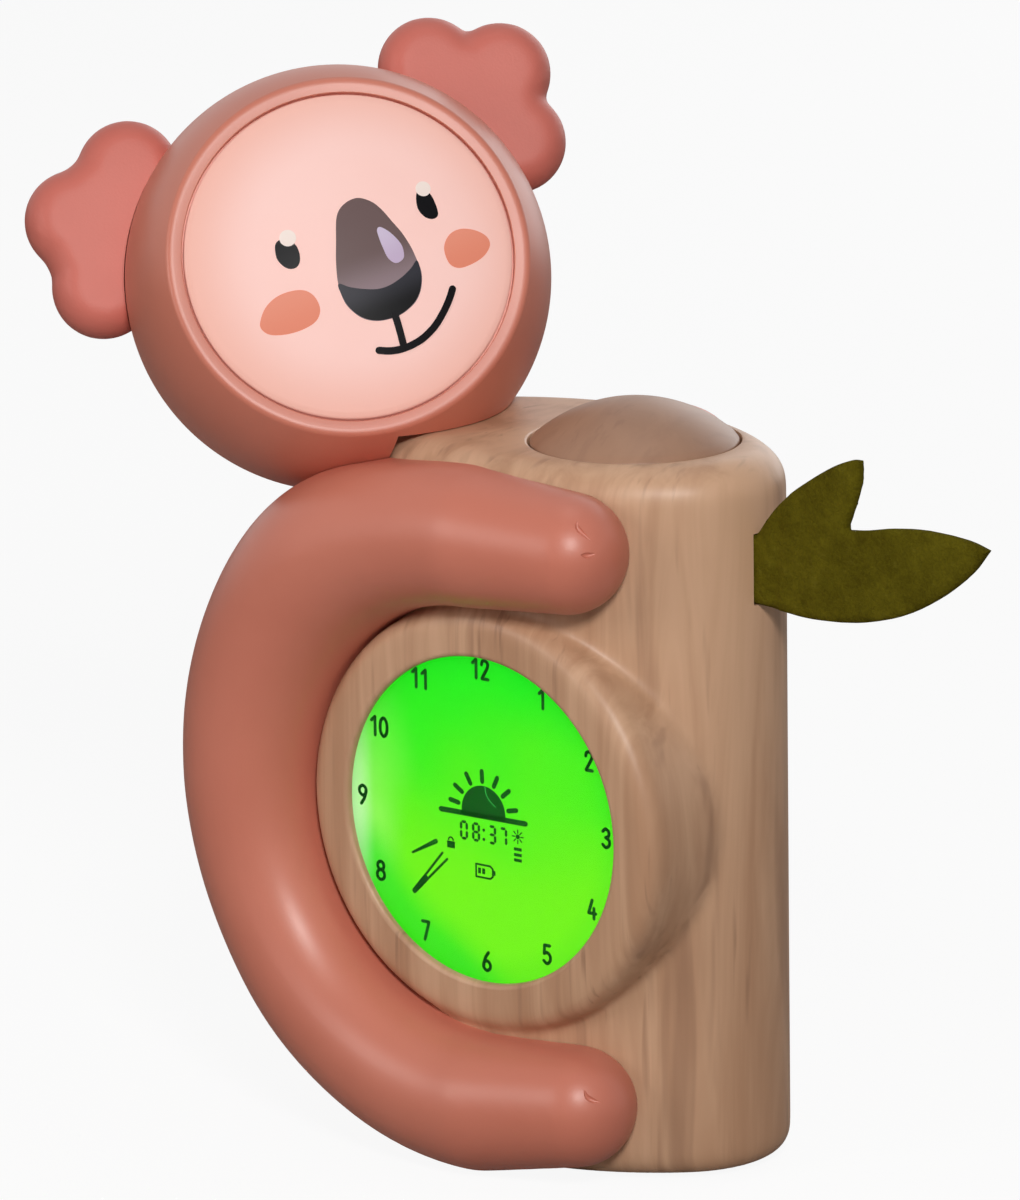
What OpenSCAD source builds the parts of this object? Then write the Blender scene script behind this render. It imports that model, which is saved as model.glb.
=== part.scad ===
// Alarm clock with a night light: a koala hugs a tree trunk that carries the clock.
// Millimetres. +Z is up, the dial faces -Y, the koala's back is at -X and the leaf at +X.
// The origin is the middle of the rest face under the trunk.

/* [Trunk] */
// Length of the oval trunk, along X
trunk_length = 80; // [76:0.5:86]
// Depth of the oval trunk, along Y
trunk_depth = 54; // [52:0.5:58]
// Radius of the trunk's two rounded ends
trunk_end_radius = 19; // [17:0.5:21]
// Height of the trunk's top above the table
trunk_height = 126; // [124:0.5:134]
// Wall of the trunk moulding
trunk_wall = 2.2; // [1.8:0.1:2.6]
// Thickness of the trunk's closed top
trunk_top_wall = 2.4; // [2:0.1:3]
// Rounding of the trunk's top edge
trunk_top_round = 6.5; // [5:0.5:7]
// Rounding of the trunk's bottom edge
trunk_foot_round = 4; // [3:0.5:4.5]
// Gap between the moulding and the table, under which the pad stands proud
foot_gap = 0.8; // [0.5:0.1:1.2]

/* [Base] */
// Width of the ledge that the base plate closes
base_ledge = 6.5; // [6:0.25:7]
// Thickness of the base plate
base_thickness = 2.6; // [2.2:0.1:3.2]
// Distance from the trunk's outline to the pad's outline
pad_inset = 13; // [13:0.25:14]
// Thickness of the anti-slip pad
pad_thickness = 1.4; // [1.2:0.1:1.6]
// Height of the base screw posts above the base plate
base_post_height = 9; // [8:0.5:14]

/* [Clock] */
// Height of the dial's centre above the table
dial_height = 62.6; // [61.5:0.2:64]
// Outer radius of the round clock drum
drum_radius = 37.6; // [36.5:0.2:38]
// Distance from the trunk's middle plane to the face of the drum
drum_front = 29.1; // [28.8:0.1:30]
// Rounding of the drum's front edge
drum_round = 2.5; // [2:0.25:3]
// Wall of the drum
drum_wall = 2; // [1.8:0.1:2.2]
// Radius of the dial opening
dial_radius = 28.8; // [28:0.2:29]
// Thickness of the drum's face round the opening
drum_face = 1.4; // [1.2:0.1:1.8]
// Thickness of the clear lens
lens_thickness = 1.2; // [1:0.1:1.5]
// Thickness of the liquid crystal panel
panel_thickness = 2; // [1.6:0.1:2.4]
// Thickness of the backlight guide
guide_thickness = 3; // [2.5:0.1:3.5]
// Thickness of the frame that clamps the display
frame_thickness = 2; // [1.6:0.1:2.4]
// Thickness of every circuit board
board_thickness = 1.6; // [1.2:0.2:2]
// Height of the main board's posts
board_post = 4; // [3:0.5:5]

/* [Top button] */
// Distance of the button's centre from the trunk's middle, along X
button_x = 12.4; // [11:0.2:13]
// Radius of the round button
button_radius = 18; // [17:0.25:18.25]
// Height of the button's dome above the trunk's top
button_dome = 7; // [5:0.25:7.5]
// Distance that the button travels
button_travel = 1.6; // [1:0.1:2]
// Gap between the button and its hole
button_gap = 0.35; // [0.25:0.05:0.5]
// Wall of the button cap
button_wall = 1.8; // [1.4:0.1:2.2]

/* [Rear controls] */
// Radius of each rear key
key_radius = 3.3; // [3:0.1:3.6]
// Distance between neighbouring keys
key_pitch = 9; // [8.6:0.1:9.4]
// Height of the row of keys above the table
key_height = 86; // [84:0.5:88]
// How far the keys stand out of the rear wall
key_proud = 1.3; // [1:0.1:1.8]
// Distance that a key travels
key_travel = 0.6; // [0.4:0.1:0.8]
// Gap between a key and its hole
key_gap = 0.3; // [0.2:0.05:0.4]
// Height of the charging socket above the table
socket_height = 30; // [29:0.25:31]
// Height of the speaker's centre above the table
speaker_height = 56; // [55:0.5:57]
// Radius of the speaker's flange
speaker_radius = 16; // [15:0.25:16.5]
// Radius of each sound hole
grille_hole = 0.9; // [0.7:0.05:1.1]
// Distance between neighbouring sound holes
grille_pitch = 4; // [3.6:0.1:4.2]

/* [Koala body] */
// Gap between the body and the round clock drum
drum_gap = 0.3; // [0.2:0.1:0.8]
// Radius of the hands and feet
hand_radius = 11; // [10:0.25:11.5]
// Distance of the limbs' middle from the trunk's middle plane
limb_offset = 28.5; // [27.5:0.25:30]
// Gap between the lowest point of the body and the table
foot_rise = 0.3; // [0.2:0.1:1]
// How far the front hand and foot reach past the trunk's middle, along X
hand_reach = 20; // [17:0.5:22]
// How far the rear hand and foot reach past the trunk's middle, along X
rear_reach = 6; // [4:0.5:8]
// Radius of the shoulders
shoulder_radius = 15.6; // [14.5:0.2:16]
// Wall of the body shells
body_wall = 2.2; // [1.8:0.1:2.6]

/* [Head] */
// Radius of the round head
head_radius = 37; // [35:0.5:38]
// Distance of the head's centre behind the trunk's middle, along X
head_back = 46.8; // [45:0.2:48]
// Distance of the head's centre in front of the trunk's middle plane
head_forward = 6.8; // [5.5:0.2:8]
// Height of the head's centre above the trunk's top
head_rise = 22; // [20.5:0.25:24]
// Turn of the face towards the leaf, in degrees
head_turn = 45; // [40:1:50]
// Tilt of the face upwards, in degrees
head_tilt = 23; // [20:1:26]
// Lean of the head to its right, in degrees
head_lean = 19.5; // [14:0.5:24]
// Wall of the head shells
head_wall = 2.2; // [1.8:0.1:2.6]
// Radius of the face panel
face_radius = 28.4; // [26:0.2:28.8]
// Height of the face panel's dome
face_dome = 2.6; // [1.5:0.1:3]
// Distance of the shells' seam behind the head's centre
head_seam = 4; // [2:0.5:6]
// Distance of the ears' centres from the head's centre
ear_distance = 37; // [35:0.25:39]
// Angle of the ears above the face's level line, in degrees
ear_angle = 33.5; // [28:0.5:38]
// Distance of the ears behind the head's centre
ear_back = 8; // [6:0.5:10]
// Radius of each ear
ear_radius = 15; // [14:0.25:16]
// Radius of each ear's three lobes
ear_lobe = 8.5; // [7:0.25:9]
// Thickness of each ear
ear_thickness = 13; // [11:0.5:15]

/* [Leaf] */
// Thickness of the felt leaf
leaf_thickness = 2.4; // [2:0.1:3]
// Distance of the leaf in front of the trunk's middle plane
leaf_forward = 1.5; // [0.5:0.1:2.5]
// Depth of the bottom of the leaf's slot below the trunk's top
leaf_drop = 24.8; // [23:0.2:26]
// Height of the leaf's slot
leaf_slot = 12.2; // [11.5:0.1:13]

/* [Hidden] */
$fn = 72;
// small clearance between pieces that are fixed to each other
fit = 0.15;
// length by which a cutter passes a face
past = 1;

// The trunk's plan is an oval of four arcs that run smoothly into each other.
end_centre = trunk_length / 2 - trunk_end_radius;
side_rise = trunk_depth / 2 - trunk_end_radius;
side_shift = (pow(end_centre, 2) - pow(side_rise, 2)) / (2 * side_rise);
side_radius = trunk_depth / 2 + side_shift;
side_angle = atan2(side_shift, end_centre);
// distance from the middle plane to the side wall at a distance x, inset by a wall
function side_y(x, inset = 0) = sqrt(pow(side_radius - inset, 2) - x * x) - side_shift;
// distance from the middle to the end wall at a distance y from the middle plane
function end_x(y, inset = 0) = end_centre + sqrt(pow(trunk_end_radius - inset, 2) - y * y);
cavity_top = trunk_height - trunk_top_wall;
// the cavity is stepped inwards under the rounded top edge
cavity_step = trunk_top_round - trunk_wall - 0.3;
ledge_top = foot_gap + base_thickness;

// display stack, from the lens backwards
lens_y = drum_front - drum_face;
panel_y = lens_y - lens_thickness;
guide_y = panel_y - panel_thickness;
frame_y = guide_y - guide_thickness;
frame_back = frame_y - frame_thickness;
board_y = frame_back - board_post;
board_back = board_y - board_thickness;
stack_radius = dial_radius + 1.5;
post_radius = 2.5;
display_post_ring = drum_radius - drum_wall - post_radius - 0.2;

main_board_width = 44;
main_board_height = 50;
board_post_x = 18;
board_post_y = 20;
// blocks on the main board, each with its corner, width, height and depth
board_blocks = [[-6, -6, 12, 12, 1.6], [-14, 8, 8, 3, 2.4], [9, -14, 6, 5, 1.4], [-5, 15, 11, 5, 4.5]];
// round capacitors, each with its place, radius and depth
board_cans = [[-12, -13, 2.5, 4], [12, 8, 2.5, 4]];

// screw sizes
screw_radius = 1.1;
screw_head = 2.1;
screw_head_height = 1.3;
screw_bite = 5;
core_radius = screw_radius + 0.02;
core_depth = screw_bite + 0.8;
screw_pass = 1.35;

// rear wall
key_names = ["set", "up", "down", "alarm"];
function key_x(index) = (index - 1.5) * key_pitch;
key_board_y = 15;
key_board_front = key_board_y + board_thickness;
key_board_length = 46;
key_board_width = 12;
key_post_x = 20.5;
switch_side = 6;
switch_height = 3;
switch_hole = 1.8;
stem_radius = 1.5;
stem_entry = 0.4;
flange_radius = key_radius + 0.8;
flange_thickness = 0.9;
speaker_x = -4;
speaker_flange = 1.6;
speaker_body = 13.4;
speaker_depth = 9;
speaker_magnet = 8;
speaker_screw_bite = 3.2;
cone_sphere = 22.8;
cone_dip = 0.8;
speaker_seat = 19.5;
speaker_post_ring = speaker_radius + 2.5;
socket_width = 9;
socket_thickness = 3.2;
socket_depth = 7.4;
socket_shelf = 1.6;
socket_board_width = 19.4;
socket_screw_x = 7.1;
socket_board_depth = 11;
socket_board_top = socket_height - socket_thickness / 2;
socket_shelf_top = socket_board_top - board_thickness;
socket_face_y = side_y(0) - 0.4;
socket_board_y = side_y(socket_board_width / 2, trunk_wall) - 0.3 - socket_board_depth;

// top button
button_hole = button_radius + button_gap;
button_top = trunk_height + button_dome;
dome_radius = (pow(button_radius, 2) + pow(button_dome, 2)) / (2 * button_dome);
button_skirt = trunk_top_wall + 3.6;
hook_reach = 1.3;
hook_height = 1.4;
hook_width = 6;
hook_count = 3;
bracket_top = trunk_height - 14;
bracket_thickness = 2.2;
bracket_post_radius = 2.4;
bracket_post_ring = button_radius + bracket_post_radius + 0.4;
bracket_turn = -28;
bracket_length = 26;
bracket_width = 18;
button_board_length = 24;
button_board_width = 16;
button_switch_side = 12;
button_switch_height = 4.5;
button_stem = 2;
button_stem_hole = 2.4;

// base
base_post_x = 30;
base_post_y = 17;
base_post_radius = 2.8;
base_rib = 1.6;
cell_radius = 8.5;
cell_length = 46;
cradle_wall = 1.5;
cradle_floor = 1.5;
cradle_ear = 2;
cradle_screw_x = 14;
cradle_screw_y = cell_radius + cradle_wall + 3;
cell_height = ledge_top + cradle_floor + cell_radius;

// head
head_place = [-head_back, -head_forward, trunk_height + head_rise];
seat_gap = 0.2;
face_plane = sqrt(pow(head_radius, 2) - pow(face_radius + 2.4, 2)) - 0.7;
face_thickness = 2;
face_flange = 1.7;
face_flange_radius = face_radius + 1.4;
face_sphere = (pow(face_radius, 2) + pow(face_dome, 2)) / (2 * face_dome);
cup_radius = face_radius + 0.4;
cup_wall = 1.4;
cup_front = face_plane - face_thickness - face_flange;
cup_back = 7;
cup_flange = 1.6;
head_post_ring = cup_radius + 3.1;
head_post_radius = 2.6;
light_post_radius = 2.3;
led_board_radius = 22;
neck_place = [-27.5, 5.5];
neck_radius = 4.5;
neck_bore = 3.2;
neck_flange = 5.6;
neck_flange_height = 2;
nut_height = 3.4;
nut_radius = 5.7;
neck_rise = trunk_height + seat_gap + head_wall + nut_height + 1.2;

// body
// the body fills the height from the table to the drum, and bends round the drum
limb_radius = (dial_height - foot_rise - drum_radius - drum_gap) / 2;
body_bend = dial_height - limb_radius - foot_rise;
arm_height = dial_height + body_bend;
leg_height = dial_height - body_bend;
shoulder_ring = body_bend + shoulder_radius - limb_radius + 1;

// leaf
leaf_start = end_x(leaf_forward);
leaf_height = trunk_height - leaf_drop;
leaf_tab = 6.5;
clip_half = 4;
clip_length = 5.4;

// ---- shared shapes ----

// section of a turned shape: radius r, from z0 to z1, rounded by top and foot
module rounded_section(r, z0, z1, top, foot) {
    translate([0, z0 + foot]) square([r, z1 - z0 - foot - top]);
    translate([0, z0]) square([r - max(foot, 0.001), foot + past]);
    translate([0, z1 - top - past]) square([r - max(top, 0.001), top + past]);
    if (top > 0) translate([r - top, z1 - top]) circle(top);
    if (foot > 0) translate([r - foot, z0 + foot]) circle(foot);
}

// the oval outline, moved inwards by inset
module trunk_plan(inset) {
    for (side = [-1, 1]) translate([side * end_centre, 0]) circle(trunk_end_radius - inset);
    intersection() {
        translate([0, side_shift]) circle(side_radius - inset);
        translate([0, -side_shift]) circle(side_radius - inset);
        square([2 * (end_centre + (trunk_end_radius - inset) * cos(side_angle)), trunk_depth], center = true);
    }
}

module trunk_prism(inset, z0, z1) {
    translate([0, 0, z0]) linear_extrude(height = z1 - z0) trunk_plan(inset);
}

// a point of the oval where its outline faces the direction turn, moved inwards by inset
function oval_point(turn, inset) =
    let (t = (turn + side_angle) % 360 - side_angle,
        on_end = t < side_angle || (t >= 180 - side_angle && t < 180 + side_angle),
        half = t < 180 - side_angle ? 1 : -1,
        middle = on_end ? [half * end_centre, 0] : [0, -half * side_shift],
        radius = (on_end ? trunk_end_radius : side_radius) - inset)
    [middle.x + radius * cos(t), middle.y + radius * sin(t)];

// directions in which the oval's points are taken: ten on an end and sixteen on a side, twice
half_turns = concat([for (i = [0 : 9]) side_angle * (i / 5 - 1)],
    [for (i = [0 : 15]) side_angle + (180 - 2 * side_angle) * i / 16]);
turns = concat(half_turns, [for (turn = half_turns) turn + 180]);

// the oval as a prism with small flats, for what fits round the trunk
module trunk_block(inset, z0, z1) {
    translate([0, 0, z0]) linear_extrude(height = z1 - z0)
        polygon([for (turn = turns) oval_point(turn, inset)]);
}

// the trunk's outside, with its top and bottom edges rounded
module trunk_form() {
    levels = concat(
        [for (a = [90 : -22.5 : 0])
            [foot_gap + trunk_foot_round * (1 - sin(a)), trunk_foot_round * (1 - cos(a))]],
        [for (a = [0 : 15 : 90])
            [trunk_height - trunk_top_round * (1 - sin(a)), trunk_top_round * (1 - cos(a))]]);
    count = len(turns);
    rings = len(levels);
    points = [for (level = levels, turn = turns) let (p = oval_point(turn, level[1])) [p.x, p.y, level[0]]];
    faces = concat([[for (i = [0 : count - 1]) i]],
        [for (ring = [0 : rings - 2], i = [0 : count - 1]) let (next = (i + 1) % count)
            [ring * count + i, (ring + 1) * count + i, (ring + 1) * count + next, ring * count + next]],
        [[for (i = [count - 1 : -1 : 0]) (rings - 1) * count + i]]);
    polyhedron(points, faces);
}

// turns a shape that stands on +Z so that it lies along -Y, at the dial's centre
module dial_axis(z = dial_height) {
    translate([0, 0, z]) rotate([90, 0, 0]) children();
}

// turns a shape that stands on +Z so that it lies along +Y
module rear_axis(x, z) {
    translate([x, 0, z]) rotate([-90, 0, 0]) children();
}

// a self-tapping screw along +Z: its head's seat is at 0 and its shank goes up
module screw(length = screw_bite + 2) {
    translate([0, 0, -screw_head_height]) cylinder(h = screw_head_height, r = screw_head);
    cylinder(h = length, r = screw_radius);
}

// children at the head's centre, turned so that the face looks along -Y
module head_frame() {
    translate(head_place) rotate([0, 0, head_turn]) rotate([-head_tilt, 0, 0])
        rotate([0, -head_lean, 0]) children();
}

// children along the face's axis: +Z is the way that the face looks
module face_axis() {
    head_frame() rotate([90, 0, 0]) children();
}

// ---- trunk ----

module drum_form() {
    dial_axis() rotate_extrude() rounded_section(drum_radius, 0, drum_front, drum_round, 0);
}

module base_post_places() {
    for (side = [-1, 1]) {
        translate([side * base_post_x, 0, 0]) children();
        translate([0, side * base_post_y, 0]) rotate(90) children();
    }
}

module display_post_places() {
    for (turn = [45 : 90 : 315]) rotate(turn) translate([display_post_ring, 0, 0]) children();
}

module bracket_post_places() {
    for (turn = [bracket_turn, bracket_turn + 180]) translate([button_x, 0, 0]) rotate(turn)
        translate([bracket_post_ring, 0, 0]) children();
}

module speaker_post_places() {
    for (turn = [45, 225]) rotate(turn) translate([speaker_post_ring, 0, 0]) children();
}

module trunk_posts() {
    base_post_places() translate([0, 0, ledge_top]) cylinder(h = base_post_height, r = base_post_radius);
    for (side = [0, 1]) {
        mirror([side, 0, 0]) translate([base_post_x, -base_rib / 2, ledge_top])
            cube([end_x(0, trunk_wall / 2) - base_post_x, base_rib, base_post_height]);
        mirror([0, side, 0]) translate([-base_rib / 2, base_post_y, ledge_top])
            cube([base_rib, side_y(0, trunk_wall / 2) - base_post_y, base_post_height]);
    }
    dial_axis() display_post_places() translate([0, 0, frame_y])
        cylinder(h = lens_y - frame_y + 0.5, r = post_radius);
    bracket_post_places() translate([0, 0, bracket_top])
        cylinder(h = cavity_top - bracket_top + 0.5, r = bracket_post_radius);
    for (side = [-1, 1]) rear_axis(side * key_post_x, key_height) translate([0, 0, key_board_front])
        cylinder(h = side_y(key_post_x, trunk_wall / 2) - key_board_front, r = 2.3);
    rear_axis(speaker_x, speaker_height) difference() {
        translate([0, 0, speaker_seat])
            cylinder(h = side_y(speaker_radius + 4, 1) - speaker_seat, r = speaker_radius);
        translate([0, 0, speaker_seat - past]) cylinder(h = 20, r = speaker_radius - 1.8);
    }
    for (turn = [45, 225]) rear_axis(speaker_x, speaker_height) rotate(turn)
        translate([speaker_post_ring, 0, speaker_seat - speaker_flange])
            cylinder(h = side_y(abs(speaker_x + speaker_post_ring * cos(turn)) + 2.4, 1)
                - speaker_seat + speaker_flange, r = 2.4);
    translate([-socket_board_width / 2, socket_board_y, socket_shelf_top - socket_shelf])
        cube([socket_board_width, side_y(socket_board_width / 2, 1) - socket_board_y, socket_shelf]);
}

// holes of the rear wall
module rear_holes() {
    for (index = [0 : 3]) rear_axis(key_x(index), key_height)
        translate([0, 0, key_board_front + 1]) cylinder(h = 20, r = key_radius + key_gap);
    rear_axis(speaker_x, speaker_height) translate([0, 0, speaker_seat]) {
        cylinder(h = 20, r = grille_hole);
        for (turn = [0 : 60 : 300]) rotate(turn) translate([grille_pitch, 0, 0])
            cylinder(h = 20, r = grille_hole);
        for (turn = [0 : 30 : 330]) rotate(turn) translate([2 * grille_pitch, 0, 0])
            cylinder(h = 20, r = grille_hole);
    }
    translate([-socket_width / 2 - fit, side_y(0) - 3 * trunk_wall,
        socket_height - socket_thickness / 2 - fit])
        cube([socket_width + 2 * fit, 4 * trunk_wall, socket_thickness + 2 * fit]);
}

module screw_cores() {
    base_post_places() translate([0, 0, ledge_top - past]) cylinder(h = core_depth + past, r = core_radius);
    dial_axis() display_post_places() translate([0, 0, frame_y - past])
        cylinder(h = core_depth + past, r = core_radius);
    bracket_post_places() translate([0, 0, bracket_top - past])
        cylinder(h = core_depth + past, r = core_radius);
    for (side = [-1, 1]) {
        rear_axis(side * key_post_x, key_height) translate([0, 0, key_board_front - past])
            cylinder(h = 2.6 + past, r = core_radius);
        translate([side * socket_screw_x, socket_board_y + socket_board_depth / 2,
            socket_shelf_top - socket_shelf - past]) cylinder(h = socket_shelf + 2 * past, r = core_radius);
    }
    rear_axis(speaker_x, speaker_height) speaker_post_places()
        translate([0, 0, speaker_seat - speaker_flange - past])
            cylinder(h = speaker_screw_bite + 0.2 + past, r = core_radius);
}

module trunk_shell() color("burlywood") {
    difference() {
        union() {
            difference() {
                union() {
                    trunk_form();
                    drum_form();
                }
                trunk_prism(trunk_wall, ledge_top, cavity_top - cavity_step);
                trunk_prism(trunk_wall + cavity_step / 2, ledge_top, cavity_top);
                trunk_prism(base_ledge, foot_gap - past, ledge_top + past);
                dial_axis() cylinder(h = lens_y, r = drum_radius - drum_wall);
            }
            trunk_posts();
        }
        dial_axis() cylinder(h = drum_front + past, r = dial_radius);
        translate([button_x, 0, cavity_top - past]) cylinder(h = trunk_top_wall + 2 * past, r = button_hole);
        translate([neck_place.x, neck_place.y, cavity_top - past])
            cylinder(h = trunk_top_wall + 2 * past, r = neck_radius + fit);
        rear_holes();
        screw_cores();
        body_screw_places() translate([0, 0, 12]) cylinder(h = 20, r = screw_pass);
        translate([leaf_start - 5, -leaf_forward - leaf_thickness / 2 - fit, leaf_height - fit])
            cube([8, leaf_thickness + 2 * fit, leaf_slot + 2 * fit]);
    }
}

// ---- base ----

module base_plate() color("tan") difference() {
    trunk_prism(base_ledge + fit, foot_gap, ledge_top);
    trunk_prism(pad_inset - fit, foot_gap - past, pad_thickness);
    base_post_places() {
        translate([0, 0, foot_gap - past]) cylinder(h = screw_head_height + past, r = screw_head + 0.3);
        translate([0, 0, foot_gap]) cylinder(h = base_thickness + past, r = screw_pass);
    }
    cradle_screw_places() translate([0, 0, foot_gap + 0.6])
        cylinder(h = base_thickness + past, r = core_radius);
}

module base_pad() color("dimgray") trunk_prism(pad_inset, 0, pad_thickness);

module base_screws() color("silver")
    base_post_places() translate([0, 0, foot_gap + screw_head_height]) screw();

// ---- display ----

module dial_lens() color("lightcyan") dial_axis()
    translate([0, 0, panel_y]) cylinder(h = lens_thickness, r = stack_radius);

module lcd_panel() color("lime") dial_axis()
    translate([0, 0, guide_y]) cylinder(h = panel_thickness, r = stack_radius);

module backlight_guide() color("white") dial_axis()
    translate([0, 0, frame_y]) cylinder(h = guide_thickness, r = stack_radius);

module board_post_places() {
    for (side = [-1, 1], up = [-1, 1]) translate([side * board_post_x, up * board_post_y, 0]) children();
}

module display_frame() color("gray") dial_axis() difference() {
    union() {
        translate([0, 0, frame_back]) cylinder(h = frame_thickness, r = stack_radius);
        display_post_places() translate([0, 0, frame_back]) cylinder(h = frame_thickness, r = post_radius);
        for (turn = [45 : 90 : 315]) rotate(turn) translate([stack_radius - 3, -post_radius, frame_back])
            cube([display_post_ring - stack_radius + 3, 2 * post_radius, frame_thickness]);
        board_post_places() translate([0, 0, board_y]) cylinder(h = board_post, r = 2.4);
    }
    display_post_places() translate([0, 0, frame_back - past])
        cylinder(h = frame_thickness + 2 * past, r = screw_pass);
    board_post_places() translate([0, 0, board_y - past]) cylinder(h = board_post + past, r = core_radius);
    translate([0, 0, frame_back - past]) cylinder(h = frame_thickness + 2 * past, r = 9);
}

module display_screws() color("silver") dial_axis() display_post_places()
    translate([0, 0, frame_back]) screw();

module main_board() color("darkgreen") dial_axis() {
    difference() {
        translate([-main_board_width / 2, -main_board_height / 2, board_back])
            cube([main_board_width, main_board_height, board_thickness]);
        board_post_places() translate([0, 0, board_back - past])
            cylinder(h = board_thickness + 2 * past, r = screw_pass);
    }
    // processor, clock crystal, charging chip and a plug for the wires, then two capacitors
    for (block = board_blocks) translate([block[0], block[1], board_back - block[4]])
        cube([block[2], block[3], block[4]]);
    for (can = board_cans) translate([can[0], can[1], board_back - can[3]]) cylinder(h = can[3], r = can[2]);
}

module board_screws() color("silver") dial_axis() board_post_places()
    translate([0, 0, board_back]) screw(board_post + 0.8);

// ---- power and sound ----

module cradle_screw_places() {
    for (side = [-1, 1], up = [-1, 1]) translate([side * cradle_screw_x, up * cradle_screw_y, 0]) children();
}

// a cell lies along X between the end walls of its cradle
module cell_form(radius, length) {
    translate([-length / 2, 0, cell_height]) rotate([0, 90, 0]) cylinder(h = length, r = radius);
}

module battery_cell() color("royalblue") {
    cell_form(cell_radius, cell_length);
    translate([cell_length / 2, 0, cell_height]) rotate([0, 90, 0]) cylinder(h = 1, r = 3.2);
}

module battery_cradle() color("white") difference() {
    union() {
        translate([-cell_length / 2 - 1.2 - cradle_wall, -cell_radius - cradle_wall, ledge_top])
            cube([cell_length + 2 * (1.2 + cradle_wall), 2 * (cell_radius + cradle_wall),
                cradle_floor + cell_radius]);
        cradle_screw_places() translate([0, 0, ledge_top]) cylinder(h = cradle_ear, r = 2.8);
        for (side = [-1, 1], up = [0, 1]) mirror([0, up, 0])
            translate([side * cradle_screw_x - 2.8, cell_radius, ledge_top])
                cube([5.6, cradle_screw_y - cell_radius, cradle_ear]);
    }
    cell_form(cell_radius + fit, cell_length + 2.4);
    cradle_screw_places() {
        translate([0, 0, ledge_top - past]) cylinder(h = cradle_ear + 2 * past, r = screw_pass);
        translate([0, 0, ledge_top + cradle_ear]) cylinder(h = 4, r = screw_head + 0.3);
    }
}

module cradle_screws() color("silver") cradle_screw_places()
    translate([0, 0, ledge_top + cradle_ear]) rotate([180, 0, 0]) screw(cradle_ear + base_thickness - 0.8);

module speaker() color("black") rear_axis(speaker_x, speaker_height) difference() {
    union() {
        translate([0, 0, speaker_seat - speaker_flange])
            cylinder(h = speaker_flange, r = speaker_radius - 0.2);
        translate([0, 0, speaker_seat - 3.4]) cylinder(h = 2, r = speaker_body);
        translate([0, 0, speaker_seat - speaker_depth]) cylinder(h = speaker_depth - 3, r = speaker_magnet);
    }
    // the cone is a shallow dish on the side of the sound holes
    translate([0, 0, speaker_seat + cone_sphere - cone_dip]) sphere(cone_sphere);
}

module speaker_clamp() color("gray") rear_axis(speaker_x, speaker_height) difference() {
    translate([0, 0, speaker_seat - 2 * speaker_flange]) union() {
        cylinder(h = speaker_flange, r = speaker_radius);
        speaker_post_places() cylinder(h = speaker_flange, r = 2.8);
    }
    translate([0, 0, speaker_seat - 2 * speaker_flange - past])
        cylinder(h = speaker_flange + 2 * past, r = speaker_body + fit);
    speaker_post_places() translate([0, 0, speaker_seat - 2 * speaker_flange - past])
        cylinder(h = speaker_flange + 2 * past, r = screw_pass);
}

module speaker_screws() color("silver") rear_axis(speaker_x, speaker_height) speaker_post_places()
    translate([0, 0, speaker_seat - 2 * speaker_flange]) screw(speaker_flange + speaker_screw_bite);

// ---- rear keys and socket ----

module key_board() color("darkgreen") difference() {
    union() {
        rear_axis(0, key_height) translate([-key_board_length / 2, -key_board_width / 2, key_board_y])
            cube([key_board_length, key_board_width, board_thickness]);
        for (index = [0 : 3]) rear_axis(key_x(index), key_height)
            translate([-switch_side / 2, -switch_side / 2, key_board_front])
                cube([switch_side, switch_side, switch_height]);
    }
    for (index = [0 : 3]) rear_axis(key_x(index), key_height)
        translate([0, 0, key_board_front + 1]) cylinder(h = switch_height, r = switch_hole);
    for (side = [-1, 1]) rear_axis(side * key_post_x, key_height) translate([0, 0, key_board_y - past])
        cylinder(h = board_thickness + 2 * past, r = screw_pass);
}

module key_board_screws() color("silver") for (side = [-1, 1])
    rear_axis(side * key_post_x, key_height) translate([0, 0, key_board_y]) screw(board_thickness + 2.4);

// a key: a low dome outside, a flange behind the wall and a stem into its switch
module rear_key(index) {
    x = key_x(index);
    out = side_y(abs(x)) + key_proud;
    flange = side_y(abs(x) + flange_radius, trunk_wall) - key_gap;
    bottom = key_board_front + switch_height - stem_entry;
    rear_axis(x, key_height) {
        intersection() {
            translate([0, 0, flange - flange_thickness])
                cylinder(h = out - flange + flange_thickness, r = key_radius);
            translate([0, 0, out - 12]) sphere(12);
        }
        translate([0, 0, flange - flange_thickness]) cylinder(h = flange_thickness, r = flange_radius);
        translate([0, 0, bottom]) cylinder(h = flange - bottom, r = stem_radius);
    }
}

module set_key() color("saddlebrown") rear_key(0);
module up_key() color("saddlebrown") rear_key(1);
module down_key() color("saddlebrown") rear_key(2);
module alarm_key() color("saddlebrown") rear_key(3);

module charging_socket() color("silver") difference() {
    translate([-socket_width / 2, socket_face_y - socket_depth, socket_board_top])
        cube([socket_width, socket_depth, socket_thickness]);
    translate([-socket_width / 2 + 0.4, socket_face_y - socket_depth + 1.4, socket_board_top + 0.4])
        cube([socket_width - 0.8, socket_depth, socket_thickness - 0.8]);
}

module socket_board() color("darkgreen") difference() {
    translate([-socket_board_width / 2, socket_board_y, socket_shelf_top])
        cube([socket_board_width, socket_board_depth, board_thickness]);
    for (side = [-1, 1])
        translate([side * socket_screw_x, socket_board_y + socket_board_depth / 2, socket_shelf_top - past])
            cylinder(h = board_thickness + 2 * past, r = screw_pass);
}

module socket_screws() color("silver") for (side = [-1, 1])
    translate([side * socket_screw_x, socket_board_y + socket_board_depth / 2, socket_board_top])
        rotate([180, 0, 0]) screw(board_thickness + socket_shelf);

// ---- top button ----

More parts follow.
